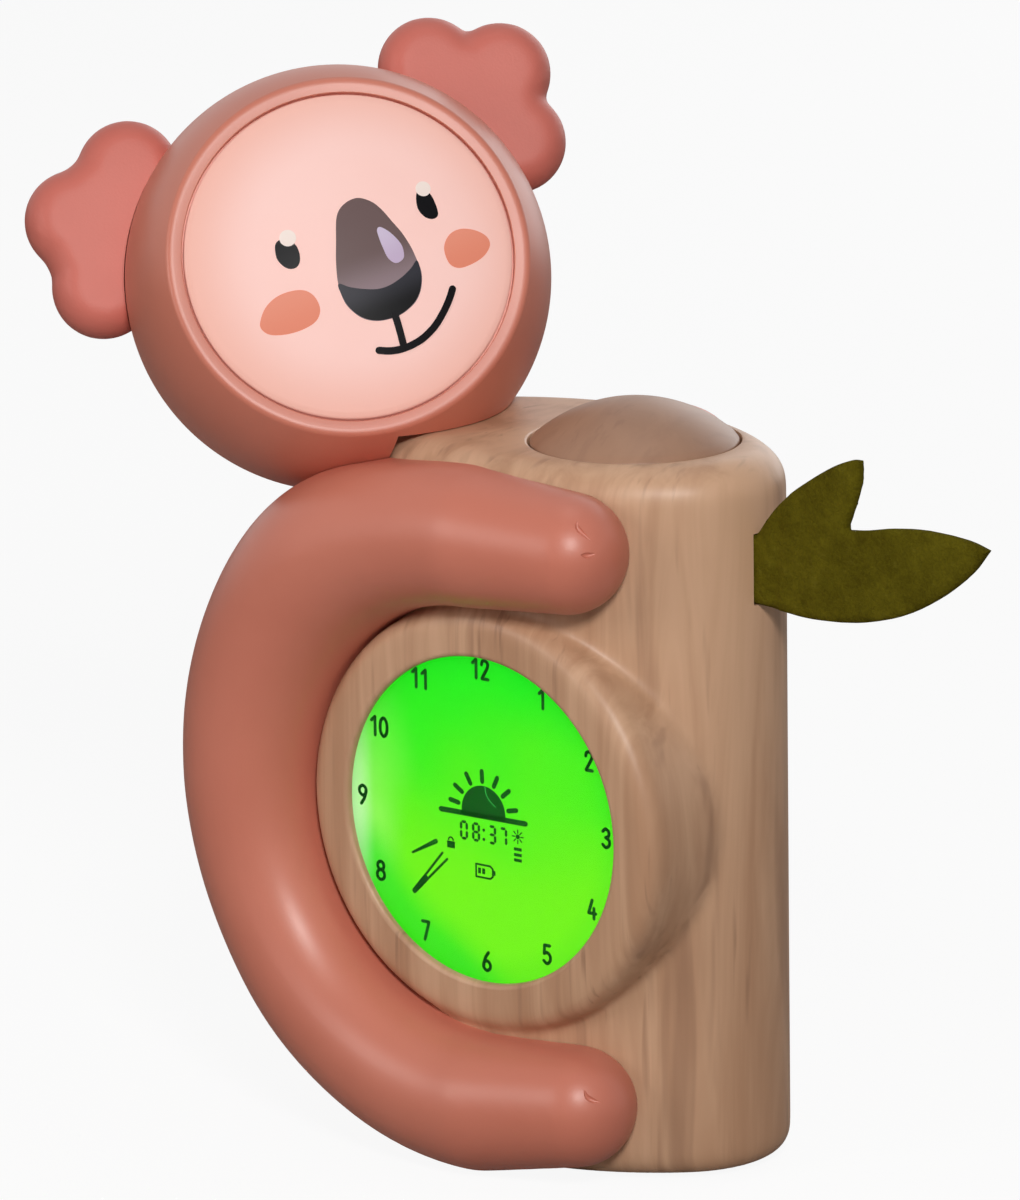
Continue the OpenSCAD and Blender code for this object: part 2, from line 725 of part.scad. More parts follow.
module top_button() color("rosybrown") translate([button_x, 0, 0]) {
    difference() {
        intersection() {
            translate([0, 0, trunk_height - button_skirt])
                cylinder(h = button_skirt + button_dome, r = button_radius);
            translate([0, 0, button_top - dome_radius]) sphere(dome_radius);
        }
        intersection() {
            translate([0, 0, trunk_height - button_skirt - past])
                cylinder(h = button_skirt + button_dome, r = button_radius - button_wall);
            translate([0, 0, button_top - dome_radius]) sphere(dome_radius - button_wall);
        }
    }
    // hooks that catch under the trunk's top
    for (index = [0 : hook_count - 1]) rotate(60 + index * 360 / hook_count)
        translate([button_radius - button_wall - 0.5, -hook_width / 2, cavity_top - 0.2 - hook_height])
            cube([button_wall + 0.5 + hook_reach, hook_width, hook_height]);
    // the stem that presses the switch
    translate([0, 0, bracket_top + board_thickness + button_switch_height - 0.5])
        cylinder(h = trunk_height + button_dome - button_wall / 2 - bracket_top - board_thickness
            - button_switch_height + 0.5, r = button_stem);
}

module button_bracket() color("gray") difference() {
    translate([0, 0, bracket_top - bracket_thickness]) {
        translate([button_x - bracket_length / 2, -bracket_width / 2, 0])
            cube([bracket_length, bracket_width, bracket_thickness]);
        translate([button_x, 0, 0]) rotate(bracket_turn)
            translate([-bracket_post_ring, -bracket_post_radius, 0])
            cube([2 * bracket_post_ring, 2 * bracket_post_radius, bracket_thickness]);
        bracket_post_places() cylinder(h = bracket_thickness, r = bracket_post_radius);
    }
    bracket_post_places() translate([0, 0, bracket_top - bracket_thickness - past])
        cylinder(h = bracket_thickness + 2 * past, r = screw_pass);
}

module bracket_screws() color("silver") bracket_post_places()
    translate([0, 0, bracket_top - bracket_thickness]) screw();

module button_board() color("darkgreen") translate([button_x, 0, bracket_top]) difference() {
    union() {
        translate([-button_board_length / 2, -button_board_width / 2, 0])
            cube([button_board_length, button_board_width, board_thickness]);
        translate([-button_switch_side / 2, -button_switch_side / 2, board_thickness])
            cube([button_switch_side, button_switch_side, button_switch_height]);
    }
    translate([0, 0, board_thickness + 1]) cylinder(h = 6, r = button_stem_hole);
}

// ---- koala body ----

// a limb from the end of the bend to a hand or foot
module limb(from_z, to_z, far) {
    way = [far, 2, to_z - from_z];
    reach = norm(way);
    translate([0, -limb_offset, from_z]) {
        rotate([0, acos(way.z / reach), atan2(way.y, way.x)]) translate([0, 0, -2 * past])
            cylinder(h = reach + 2 * past, r1 = limb_radius - 0.3, r2 = hand_radius - 0.6);
        translate(way) sphere(hand_radius);
    }
}

// half of the section that runs round the trunk's end, from the seam to the limbs
module bend_section(inset) {
    translate([body_bend, limb_offset]) circle(limb_radius - inset);
    translate([body_bend - limb_radius + inset, inset > 0 ? -past : 0])
        square([2 * (limb_radius - inset), limb_offset + (inset > 0 ? past : 0)]);
}

module bend(inset, from_angle) {
    translate([0, 0, dial_height]) rotate([90, 0, 0]) rotate([0, 0, from_angle])
        rotate_extrude(angle = 360 - 2 * from_angle) bend_section(inset);
}

// what the body keeps clear of: the trunk, the head, the top button and the rear keys
module body_neighbours(gap) {
    trunk_block(-gap, -10, trunk_height + gap);
    translate(head_place) sphere(head_radius + gap);
    translate([button_x, 0, cavity_top])
        cylinder(h = trunk_top_wall + 2 * button_dome, r = button_hole + gap);
    for (index = [0 : 3]) rear_axis(key_x(index), key_height)
        cylinder(h = trunk_depth, r = key_radius + key_gap + gap);
}

module body_screw_places() {
    for (side = [0, 1], z = [leg_height + 1, arm_height - 1])
        mirror([0, side, 0]) translate([4, 0, z]) rotate([90, 0, 0]) children();
}

// one half of the body, in front of the seam at the middle plane
module body_half(far) difference() {
    union() {
        bend(0, 90);
        for (turn = [120, 136, 152]) translate([shoulder_ring * cos(turn), 3 - limb_offset,
            dial_height + shoulder_ring * sin(turn)]) sphere(shoulder_radius);
        limb(arm_height, arm_height - 1.2, far);
        limb(leg_height, leg_height + 1.6, far);
    }
    body_neighbours(seat_gap);
    difference() {
        bend(body_wall, 102);
        body_neighbours(seat_gap + body_wall);
    }
    body_screw_places() translate([0, 0, 20]) cylinder(h = 14, r = core_radius);
}

module koala_front() color("indianred") body_half(hand_reach);
module koala_rear() color("indianred") mirror([0, 1, 0]) body_half(rear_reach);

module body_screws() color("silver") for (side = [0, 1], z = [leg_height + 1, arm_height - 1])
    mirror([0, side, 0]) translate([4, -side_y(4 + screw_head, trunk_wall), z]) rotate([90, 0, 0]) screw(8);

// ---- head ----

module head_post_places() {
    for (turn = [75, 185, 350]) rotate(turn) translate([head_post_ring, 0, 0]) children();
}

module light_post_places() {
    for (turn = [5, 105, 215]) rotate(turn) translate([head_post_ring, 0, 0]) children();
}

// inner wall that closes the head where it sits over the trunk
module head_seat() difference() {
    intersection() {
        translate(head_place) sphere(head_radius - head_wall / 2);
        trunk_prism(-seat_gap - head_wall, trunk_height - head_radius, trunk_height + seat_gap + head_wall);
    }
    trunk_prism(-seat_gap, 0, trunk_height + seat_gap);
}

// what both head shells leave free
module head_cuts() {
    trunk_prism(-seat_gap, 0, trunk_height + seat_gap);
    translate([neck_place.x, neck_place.y, trunk_height - past])
        cylinder(h = head_wall + 3, r = neck_radius + fit);
}

// half section of the hollow head about the face's axis, between two heights
module head_section(from, to) {
    intersection() {
        difference() {
            circle(head_radius);
            circle(head_radius - head_wall);
        }
        translate([0, from]) square([head_radius + past, to - from]);
    }
}

module head_front_shell() color("indianred") difference() {
    union() {
        face_axis() {
            rotate_extrude() difference() {
                head_section(-head_seam, head_radius);
                square([face_radius + fit, head_radius]);
                polygon([[face_radius, face_plane - 1.5], [face_radius + fit, face_plane - 1.5],
                    [face_radius + 6, face_plane + 4], [face_radius, face_plane + 4]]);
            }
            intersection() {
                sphere(head_radius - head_wall / 2);
                union() {
                    light_post_places() translate([0, 0, cup_back])
                        cylinder(h = cup_front - cup_back - 0.4, r = light_post_radius);
                    head_post_places() translate([0, 0, -head_seam])
                        cylinder(h = cup_front + head_seam - 0.4, r = head_post_radius);
                }
            }
        }
        intersection() {
            head_seat();
            face_axis() translate([0, 0, -head_seam]) cylinder(h = 2 * head_radius, r = 2 * head_radius);
        }
    }
    head_cuts();
    face_axis() {
        light_post_places() translate([0, 0, cup_back - past])
            cylinder(h = core_depth + past, r = core_radius);
        head_post_places() translate([0, 0, -head_seam - past])
            cylinder(h = core_depth + past, r = core_radius);
    }
}

module head_rear_shell() color("indianred") difference() {
    union() {
        face_axis() {
            rotate_extrude() head_section(-head_radius, -head_seam);
            intersection() {
                sphere(head_radius - head_wall / 2);
                head_post_places() translate([0, 0, -head_seam - 20]) cylinder(h = 20, r = 3.4);
            }
        }
        difference() {
            head_seat();
            face_axis() translate([0, 0, -head_seam]) cylinder(h = 2 * head_radius, r = 2 * head_radius);
        }
    }
    head_cuts();
    face_axis() {
        head_post_places() {
            translate([0, 0, -head_seam - 40]) cylinder(h = 50, r = screw_pass);
            translate([0, 0, -head_seam - 40]) cylinder(h = 34, r = screw_head + 0.4);
        }
        ear_places() translate([head_radius - 9, 0, -ear_back - 1]) rotate([0, 90, 0])
            cylinder(h = 12, r = 2.2);
    }
}

// the room that the head's inner wall over the trunk takes
module seat_block() {
    trunk_prism(-seat_gap - head_wall - 2 * fit, trunk_height - head_radius,
        trunk_height + seat_gap + head_wall + 2 * fit);
}

module face_panel() color("mistyrose") difference() {
    face_disc();
    seat_block();
}

module face_disc() face_axis() rotate_extrude() {
    translate([0, cup_front]) square([face_flange_radius, face_flange]);
    intersection() {
        translate([0, cup_front]) square([face_radius, face_plane + face_dome - cup_front]);
        translate([0, face_plane + face_dome - face_sphere]) circle(face_sphere, $fn = 720);
    }
}

module light_cup() color("white") difference() {
    cup_form();
    seat_block();
}

module cup_form() face_axis() difference() {
    union() {
        translate([0, 0, cup_back - cup_flange])
            cylinder(h = cup_front - cup_back + cup_flange, r = cup_radius);
        intersection() {
            translate([0, 0, cup_back - cup_flange]) cylinder(h = cup_flange, r = head_post_ring + 2);
            sphere(head_radius - head_wall - fit);
        }
    }
    translate([0, 0, cup_back]) cylinder(h = cup_front, r = cup_radius - cup_wall);
    light_post_places() translate([0, 0, -past]) cylinder(h = 12, r = screw_pass);
    head_post_places() translate([0, 0, -past]) cylinder(h = 12, r = head_post_radius + fit);
}

module led_board() color("white") face_axis() {
    translate([0, 0, cup_back]) cylinder(h = board_thickness, r = led_board_radius);
    for (turn = [0 : 45 : 315]) rotate(turn) translate([15, -1.8, cup_back + board_thickness])
        cube([3.6, 3.6, 1.2]);
}

module head_screws() color("silver") face_axis() head_post_places()
    translate([0, 0, -head_seam - 6]) screw(6 + screw_bite - 0.5);

module light_screws() color("silver") face_axis() light_post_places()
    translate([0, 0, cup_back - cup_flange]) screw();

// each ear's own place: +X looks outwards from the head's centre
module ear_places() {
    for (side = [-1, 1]) rotate(90 - side * 90 + side * ear_angle) children();
}

// a disc whose edge is rounded in small flats
module puffy_disc(radius, thickness) rotate_extrude() polygon(concat(
    [[0, -thickness / 2]],
    [for (turn = [-90 : 22.5 : 90])
        [radius - thickness / 2 * (1 - cos(turn)), thickness / 2 * sin(turn)]],
    [[0, thickness / 2]]));

// a puffy ear of three lobes at +X, trimmed to the round head, with a peg into it
module ear() {
    difference() {
        translate([ear_distance, 0, -ear_back]) {
            puffy_disc(ear_radius, ear_thickness);
            for (turn = [-70, 0, 70]) rotate(turn) translate([ear_radius - ear_lobe / 2, 0, 0])
                puffy_disc(ear_lobe, ear_thickness - 2);
        }
        sphere(head_radius + fit);
    }
    translate([head_radius - 7, 0, -ear_back - 1]) rotate([0, 90, 0]) cylinder(h = 12, r = 2);
}

module ear_left() color("indianred") face_axis() rotate(180 - ear_angle) ear();
module ear_right() color("indianred") face_axis() mirror([1, 0, 0]) rotate(180 - ear_angle) ear();

module neck_tube() color("gray") translate([neck_place.x, neck_place.y, 0]) difference() {
    union() {
        translate([0, 0, cavity_top - neck_flange_height]) cylinder(h = neck_flange_height, r = neck_flange);
        translate([0, 0, cavity_top]) cylinder(h = neck_rise - cavity_top, r = neck_radius);
    }
    translate([0, 0, cavity_top - 5]) cylinder(h = 40, r = neck_bore);
}

module neck_nut() color("dimgray")
    translate([neck_place.x, neck_place.y, trunk_height + seat_gap + head_wall]) difference() {
        cylinder(h = nut_height, r = nut_radius);
        translate([0, 0, -past]) cylinder(h = nut_height + 2 * past, r = neck_radius + 0.05);
    }

// ---- leaf ----

// outline of the felt leaf: a long leaflet and a short one that stands up
leaf_outline = [[-leaf_tab, 0], [0, 0], [5.7, -0.5], [12, -0.8], [20, -0.2], [30.6, 2.6], [39.5, 7.3],
    [45, 11.9], [48.3, 16.2], [45, 17], [36, 17.8], [27, 16.8], [19.8, 15.6], [19.2, 16.7],
    [21.3, 21], [22.6, 25], [22.6, 28.2], [20.5, 28.2], [16.4, 26.6], [11, 23], [6.3, 19.8],
    [3.3, 16.4], [0, leaf_slot], [-leaf_tab, leaf_slot]];

module leaf() color("olivedrab") translate([leaf_start, leaf_thickness / 2 - leaf_forward, leaf_height])
    rotate([90, 0, 0]) linear_extrude(height = leaf_thickness) polygon(leaf_outline);

module leaf_clip() color("gray") difference() {
    translate([leaf_start - trunk_wall - 1.2 - clip_length, -leaf_forward - clip_half, leaf_height - 3])
        cube([clip_length, 2 * clip_half, leaf_slot + 6]);
    translate([leaf_start - 12, -leaf_forward - leaf_thickness / 2 - fit, leaf_height - fit])
        cube([14, leaf_thickness + 2 * fit, leaf_slot + 2 * fit]);
    clip_screw_places() translate([0, 0, -3]) cylinder(h = 20, r = screw_radius + 0.05);
}

module clip_screw_places() {
    for (up = [0.3, 0.7])
        translate([leaf_start - trunk_wall - 4, -leaf_forward - clip_half, leaf_height + up * leaf_slot])
            rotate([-90, 0, 0]) children();
}

module clip_screws() color("silver") clip_screw_places() screw(1.8);

trunk_shell();
base_plate();
base_pad();
base_screws();
dial_lens();
lcd_panel();
backlight_guide();
display_frame();
display_screws();
main_board();
board_screws();
battery_cell();
battery_cradle();
cradle_screws();
speaker();
speaker_clamp();
speaker_screws();
key_board();
key_board_screws();
set_key();
up_key();
down_key();
alarm_key();
charging_socket();
socket_board();
socket_screws();
top_button();
button_bracket();
bracket_screws();
button_board();
koala_front();
koala_rear();
body_screws();
head_front_shell();
head_rear_shell();
face_panel();
light_cup();
led_board();
head_screws();
light_screws();
ear_left();
ear_right();
neck_tube();
neck_nut();
leaf();
leaf_clip();
clip_screws();
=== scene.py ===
import bpy
import bmesh
import math
import numpy as np
from mathutils import Matrix, Vector, noise
from mathutils.geometry import delaunay_2d_cdt


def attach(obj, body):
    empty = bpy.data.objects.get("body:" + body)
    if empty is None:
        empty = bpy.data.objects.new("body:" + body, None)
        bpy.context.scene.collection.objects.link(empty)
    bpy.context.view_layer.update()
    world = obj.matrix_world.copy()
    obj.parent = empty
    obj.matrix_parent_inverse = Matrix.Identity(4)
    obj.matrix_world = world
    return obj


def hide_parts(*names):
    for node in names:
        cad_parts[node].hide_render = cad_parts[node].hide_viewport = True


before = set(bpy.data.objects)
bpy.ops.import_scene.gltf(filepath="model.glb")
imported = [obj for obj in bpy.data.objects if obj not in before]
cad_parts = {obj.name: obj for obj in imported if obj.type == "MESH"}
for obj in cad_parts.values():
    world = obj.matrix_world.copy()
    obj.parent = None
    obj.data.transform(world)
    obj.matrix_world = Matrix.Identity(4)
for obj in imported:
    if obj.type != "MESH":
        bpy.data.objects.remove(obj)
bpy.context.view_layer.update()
print("frame loaded:", len(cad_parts), "nodes")

mm = 0.001
clock = "clock_body"


def linear(r, g, b):  # a colour as a screen shows it, 0 to 255, in the shader's own scale
    def one(c):
        c = c / 255
        return c / 12.92 if c <= 0.04045 else ((c + 0.055) / 1.055) ** 2.4
    return (one(r), one(g), one(b), 1.0)


def addObject(name, data):
    piece = bpy.data.objects.new(name, data)
    bpy.context.scene.collection.objects.link(piece)
    return piece


def pieceFromMesh(name, mesh, material, nodes=(), body=clock, sharp=None, smooth=True):
    piece = addObject(name, mesh)
    mesh.materials.clear()
    mesh.materials.append(material)
    for face in mesh.polygons:
        face.use_smooth = smooth
    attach(piece, body)
    if nodes:
        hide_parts(*nodes)
    if sharp:  # edges that bend by more degrees than this stay crisp
        mesh.set_sharp_from_angle(angle=math.radians(sharp))


def meshFromData(name, points, faces):
    mesh = bpy.data.meshes.new(name)
    mesh.from_pydata([tuple(p) for p in points], [], faces)
    mesh.validate()
    tidyNormals(mesh)
    return mesh


def tidyNormals(mesh, merge=1e-7):
    work = bmesh.new()
    work.from_mesh(mesh)
    bmesh.ops.remove_doubles(work, verts=work.verts, dist=merge)
    bmesh.ops.recalc_face_normals(work, faces=work.faces)
    work.to_mesh(mesh)
    work.free()
    mesh.update()


def revolve(name, profile, steps, place, closed=False):  # (radius, height) points, turned about place's Z
    points, faces, rings = [], [], []
    for radius, height in profile:
        if radius < 1e-9:
            rings.append([len(points)])
            points.append(place @ Vector((0, 0, height)))
        else:
            rings.append(list(range(len(points), len(points) + steps)))
            for i in range(steps):
                a = 2 * math.pi * i / steps
                points.append(place @ Vector((radius * math.cos(a), radius * math.sin(a), height)))
    pairs = list(zip(rings, rings[1:]))
    if closed:
        pairs.append((rings[-1], rings[0]))
    for low, high in pairs:
        for i in range(steps):
            j = (i + 1) % steps
            if len(low) == 1 and len(high) == 1:
                break
            if len(low) == 1:
                faces.append((low[0], high[j], high[i]))
            elif len(high) == 1:
                faces.append((low[i], low[j], high[0]))
            else:
                faces.append((low[i], low[j], high[j], high[i]))
    return meshFromData(name, points, faces)


def polar(radius, degrees, x=0.0, y=0.0):  # the point at an angle from a middle
    a = math.radians(degrees)
    return x + radius * math.cos(a), y + radius * math.sin(a)


def arcPoints(x, y, radius, start, stop, steps):
    return [polar(radius, start + (stop - start) * i / steps, x, y) for i in range(steps + 1)]


def curveThrough(stations, steps):  # points of a smooth curve from the second station to the last but one
    out = []
    for i in range(1, len(stations) - 2):
        p0, p1, p2, p3 = (np.array(stations[i + k - 1], float) for k in range(4))
        for t in np.arange(steps) / steps:
            out.append(tuple(0.5 * (2 * p1 + (p2 - p0) * t + (2 * p0 - 5 * p1 + 4 * p2 - p3) * t * t
                                    + (3 * p1 - p0 - 3 * p2 + p3) * t ** 3)))
    return out


def smoothClosed(points, steps=8):
    return curveThrough([points[-1]] + list(points) + [points[0], points[1]], steps)


def smoothOpen(points, steps=8):
    first, second, beforeLast, last = (np.array(points[i]) for i in (0, 1, -2, -1))
    stations = [tuple(2 * first - second)] + list(points) + [tuple(2 * last - beforeLast)]
    return curveThrough(stations, steps) + [tuple(points[-1])]


def cutWith(mesh, cutters, merge=None):  # plain meshes cut away by exact booleans, applied
    piece = addObject("work", mesh)
    others = [addObject("cutter", cutter) for cutter in cutters]
    for other in others:
        step = piece.modifiers.new("cut", "BOOLEAN")
        step.operation = "DIFFERENCE"
        step.solver = "EXACT"
        step.object = other
    result = evaluatedCopy(piece)
    for other in others + [piece]:
        bpy.data.objects.remove(other)
    if merge:
        tidyNormals(result, merge)
    return result


def evaluatedCopy(piece):
    bpy.context.view_layer.update()
    graph = bpy.context.evaluated_depsgraph_get()
    return bpy.data.meshes.new_from_object(piece.evaluated_get(graph))


def remeshed(mesh, voxel, smoothing):  # one closed skin over overlapping forms
    piece = addObject("work", mesh)
    skin = piece.modifiers.new("skin", "REMESH")
    skin.mode = "VOXEL"
    skin.voxel_size = voxel
    skin.adaptivity = 0
    soften = piece.modifiers.new("soften", "SMOOTH")
    soften.factor = 0.5
    soften.iterations = smoothing
    result = evaluatedCopy(piece)
    bpy.data.objects.remove(piece)
    return result


def joined(name, meshes):
    work = bmesh.new()
    for mesh in meshes:
        work.from_mesh(mesh)
    result = bpy.data.meshes.new(name)
    work.to_mesh(result)
    work.free()
    return result


def boxMesh(low, high, place=Matrix.Identity(4)):
    xs, ys, zs = zip(low, high)
    points = [place @ Vector((x, y, z)) for x in xs for y in ys for z in zs]
    faces = [(0, 1, 3, 2), (4, 6, 7, 5), (0, 4, 5, 1), (2, 3, 7, 6), (0, 2, 6, 4), (1, 5, 7, 3)]
    return meshFromData("block", points, faces)


def rotation(degrees, axis):
    return Matrix.Rotation(math.radians(degrees), 4, axis)


def feed(tree, node, values):  # a plain value is set on its socket, an output is linked to it
    for key, value in values.items():
        if isinstance(value, bpy.types.NodeSocket):
            tree.links.new(value, node.inputs[key])
        else:
            node.inputs[key].default_value = value


def addNode(tree, kind, values, **settings):
    node = tree.nodes.new(kind)
    for key, value in settings.items():
        setattr(node, key, value)
    feed(tree, node, values)
    return node


def mathNode(tree, operation, a, b=None, c=None, clamp=False):
    values = {i: value for i, value in enumerate((a, b, c)) if value is not None}
    return addNode(tree, "ShaderNodeMath", values, operation=operation, use_clamp=clamp).outputs[0]


def times(tree, a, b):
    return mathNode(tree, "MULTIPLY", a, b)


def plus(tree, a, b):
    return mathNode(tree, "ADD", a, b)


def weighted(tree, a, shareA, b, shareB):
    return plus(tree, times(tree, a, shareA), times(tree, b, shareB))


def mixColour(tree, factor, a, b):
    return addNode(tree, "ShaderNodeMix", {0: factor, 6: a, 7: b}, data_type="RGBA").outputs[2]


def rangeOf(tree, value, low, high, to0=0.0, to1=1.0, kind="LINEAR"):
    values = dict(enumerate((value, low, high, to0, to1)))
    return addNode(tree, "ShaderNodeMapRange", values, interpolation_type=kind, clamp=True).outputs[0]


def smoothRange(tree, value, low, high, to0=0.0, to1=1.0):
    return rangeOf(tree, value, low, high, to0, to1, "SMOOTHSTEP")


def noiseOf(tree, vector, scale, detail, rough=0.5, distortion=0.0, turn=(0, 0, 0), shift=(0, 0, 0)):
    values = {"Vector": vector, "Scale": scale, "Rotation": turn, "Location": shift}
    place = addNode(tree, "ShaderNodeMapping", values).outputs[0]
    values = {"Vector": place, "Scale": 1.0, "Detail": detail, "Roughness": rough, "Distortion": distortion}
    return addNode(tree, "ShaderNodeTexNoise", values).outputs[0]


trunk = {
    "length": 80 * mm,
    "depth": 54 * mm,
    "endRadius": 19 * mm,
    "height": 126 * mm,
    "wall": 2.2 * mm,
    "topRound": 6.5 * mm,
    "footRound": 4 * mm,
    "footGap": 0.8 * mm,
    "topWall": 2.4 * mm,
    "outlineSteps": 320,
}
dial = {
    "height": 62.6 * mm,
    "drumRadius": 37.6 * mm,
    "drumFront": 29.1 * mm,
    "drumRound": 3.6 * mm,
    "radius": 28.8 * mm,
    "lensFront": 27.7 * mm,
    "panelFront": 26.5 * mm,
}
head = {
    "place": Vector((-46.8, -6.8, 148)) * mm,
    "turn": 45,
    "tilt": 23,
    "lean": 19.5,
    "radius": 37 * mm,
    "wall": 2.2 * mm,
    "seam": 4 * mm,
    "faceRadius": 28.4 * mm,
    "faceDome": 2.6 * mm,
}
endCentre = trunk["length"] / 2 - trunk["endRadius"]
sideRise = trunk["depth"] / 2 - trunk["endRadius"]
sideShift = (endCentre ** 2 - sideRise ** 2) / (2 * sideRise)
sideRadius = trunk["depth"] / 2 + sideShift
sideAngle = math.atan2(sideShift, endCentre)


def ovalPoint(turn, inset):  # the trunk's outline where it faces the direction turn, in radians
    t = (turn + sideAngle) % (2 * math.pi) - sideAngle
    onEnd = t < sideAngle or math.pi - sideAngle <= t < math.pi + sideAngle
    half = 1 if t < math.pi - sideAngle else -1
    middle = (half * endCentre, 0) if onEnd else (0, -half * sideShift)
    radius = (trunk["endRadius"] if onEnd else sideRadius) - inset
    return middle[0] + radius * math.cos(t), middle[1] + radius * math.sin(t)


def evenTurns(steps):  # directions that are spaced evenly along the oval
    fine = [i * 2 * math.pi / 4000 for i in range(4001)]
    way, last = [0.0], ovalPoint(0, 0)
    for t in fine[1:]:
        p = ovalPoint(t, 0)
        way.append(way[-1] + math.dist(p, last))
        last = p
    return [float(np.interp(way[-1] * i / steps, way, fine)) for i in range(steps)]


ovalTurns = evenTurns(trunk["outlineSteps"])


def ovalLoft(levels, turns=ovalTurns):  # closed form over the oval; levels are (height, inset)
    count = len(turns)
    points = [(*ovalPoint(t, inset), z) for z, inset in levels for t in turns]
    faces = [tuple(range(count - 1, -1, -1)), tuple((len(levels) - 1) * count + i for i in range(count))]
    for ring in range(len(levels) - 1):
        for i in range(count):
            j = (i + 1) % count
            faces.append((ring * count + i, ring * count + j, (ring + 1) * count + j, (ring + 1) * count + i))
    return meshFromData("oval", points, faces)


dialPlace = Matrix.Translation((0, 0, dial["height"])) @ rotation(90, "X")
facePlace = (Matrix.Translation(head["place"]) @ rotation(head["turn"], "Z") @ rotation(-head["tilt"], "X")
             @ rotation(-head["lean"], "Y") @ rotation(90, "X"))


def rearPlace(x, z):  # a place on the rear wall, +Z looking along +Y
    return Matrix.Translation((x, 0, z)) @ rotation(-90, "X")


view = {
    "azimuth": 37.8,
    "elevation": 15.0,
    "roll": 0.7,
    "distance": 1.7,
    "lookAt": Vector((0, 0, 0.070)),
    "lookAtPixel": (581, 744),
    "pixelsPerMetre": 5770,
    "frameSize": (1020, 1200),
}


def makeCamera():
    a, e, r = (math.radians(view[k]) for k in ("azimuth", "elevation", "roll"))
    back = Vector((math.sin(a) * math.cos(e), -math.cos(a) * math.cos(e), math.sin(e)))
    right = Vector((math.cos(a), math.sin(a), 0))
    up = back.cross(right)
    focal = view["pixelsPerMetre"] * view["distance"]
    rightRolled = right * math.cos(r) + up * -math.sin(r)
    upRolled = up * math.cos(r) + right * math.sin(r)
    data = bpy.data.cameras.new("camera")
    camera = addObject("camera", data)
    turn = Matrix((rightRolled, upRolled, back)).transposed()
    camera.matrix_world = Matrix.Translation(view["lookAt"] + back * view["distance"]) @ turn.to_4x4()
    width, height = view["frameSize"]
    longSide = max(width, height)
    data.sensor_fit = "AUTO"
    data.sensor_width = 36
    data.lens = focal / longSide * 36
    data.shift_x = (width / 2 - view["lookAtPixel"][0]) / longSide
    data.shift_y = -(height / 2 - view["lookAtPixel"][1]) / longSide
    data.clip_start = 0.05
    data.clip_end = 50
    bpy.context.scene.camera = camera


makeCamera()
print("camera made")


floorLook = {
    "half": 6,
    "whiteShare": 0.92,
    "seen": (0.9, 0.9, 0.9, 1),
    "bounce": (0.42, 0.40, 0.38, 1),
}
lights = {  # name: place, size, power, colour
    "key": ((0.74, -0.78, 0.74), 0.26, 9.2, (1.0, 0.985, 0.965)),
    "fill": ((-0.42, -1.05, 0.52), 0.5, 3.0, (1.0, 0.98, 0.96)),
    "top": ((0.0, 0.10, 1.2), 0.5, 0.9, (1.0, 0.98, 0.96)),
    "back": ((-0.15, 1.1, 0.45), 1.0, 3.6, (0.98, 0.99, 1.0)),
}
lightTarget = Vector((0, 0, 0.08))
worldStrength = 0.07
white = (1, 1, 1, 1)


def makeStage():  # a floor that is almost plain white to the camera and greyer in what it reflects
    half = floorLook["half"]
    floor = bpy.data.meshes.new("floor")
    corners = [(-half, -half, 0), (half, -half, 0), (half, half, 0), (-half, half, 0)]
    floor.from_pydata(corners, [], [(0, 1, 2, 3)])
    piece = addObject("floor", floor)
    paint = bpy.data.materials.new("floorWhite")
    paint.use_nodes = True
    tree = paint.node_tree
    tree.nodes.clear()
    seen = addNode(tree, "ShaderNodeLightPath", {}).outputs["Is Camera Ray"]
    tone = mixColour(tree, seen, floorLook["bounce"], floorLook["seen"])
    shade = addNode(tree, "ShaderNodeBsdfDiffuse", {"Color": tone})
    glow = addNode(tree, "ShaderNodeEmission", {"Color": white})
    share = times(tree, seen, floorLook["whiteShare"])
    mix = addNode(tree, "ShaderNodeMixShader", {0: share, 1: shade.outputs[0], 2: glow.outputs[0]})
    addNode(tree, "ShaderNodeOutputMaterial", {0: mix.outputs[0]})
    floor.materials.append(paint)


def makeLights():
    for name, (place, size, power, colour) in lights.items():
        data = bpy.data.lights.new(name, "AREA")
        data.shape = "DISK"
        data.size = size
        data.energy = power
        data.color = colour
        lamp = addObject(name, data)
        lamp.location = place
        lamp.rotation_mode = "QUATERNION"
        lamp.rotation_quaternion = (Vector(place) - lightTarget).to_track_quat("Z", "Y")


def makeWorld():  # plain white to the camera and in glass and metal, a faint glow for the rest
    world = bpy.data.worlds.new("studio")
    bpy.context.scene.world = world
    world.use_nodes = True
    tree = world.node_tree
    tree.nodes.clear()
    path = addNode(tree, "ShaderNodeLightPath", {}).outputs
    seen = mathNode(tree, "MAXIMUM", path["Is Camera Ray"], path["Is Transmission Ray"])
    seen = mathNode(tree, "MAXIMUM", seen, path["Is Glossy Ray"])
    soft = addNode(tree, "ShaderNodeBackground", {"Color": white, "Strength": worldStrength})
    plain = addNode(tree, "ShaderNodeBackground", {"Color": white, "Strength": 1.0})
    mix = addNode(tree, "ShaderNodeMixShader", {0: seen, 1: soft.outputs[0], 2: plain.outputs[0]})
    addNode(tree, "ShaderNodeOutputWorld", {0: mix.outputs[0]})


makeStage()
makeLights()
makeWorld()
bpy.context.scene.view_settings.view_transform = "Standard"
print("stage and lights made")


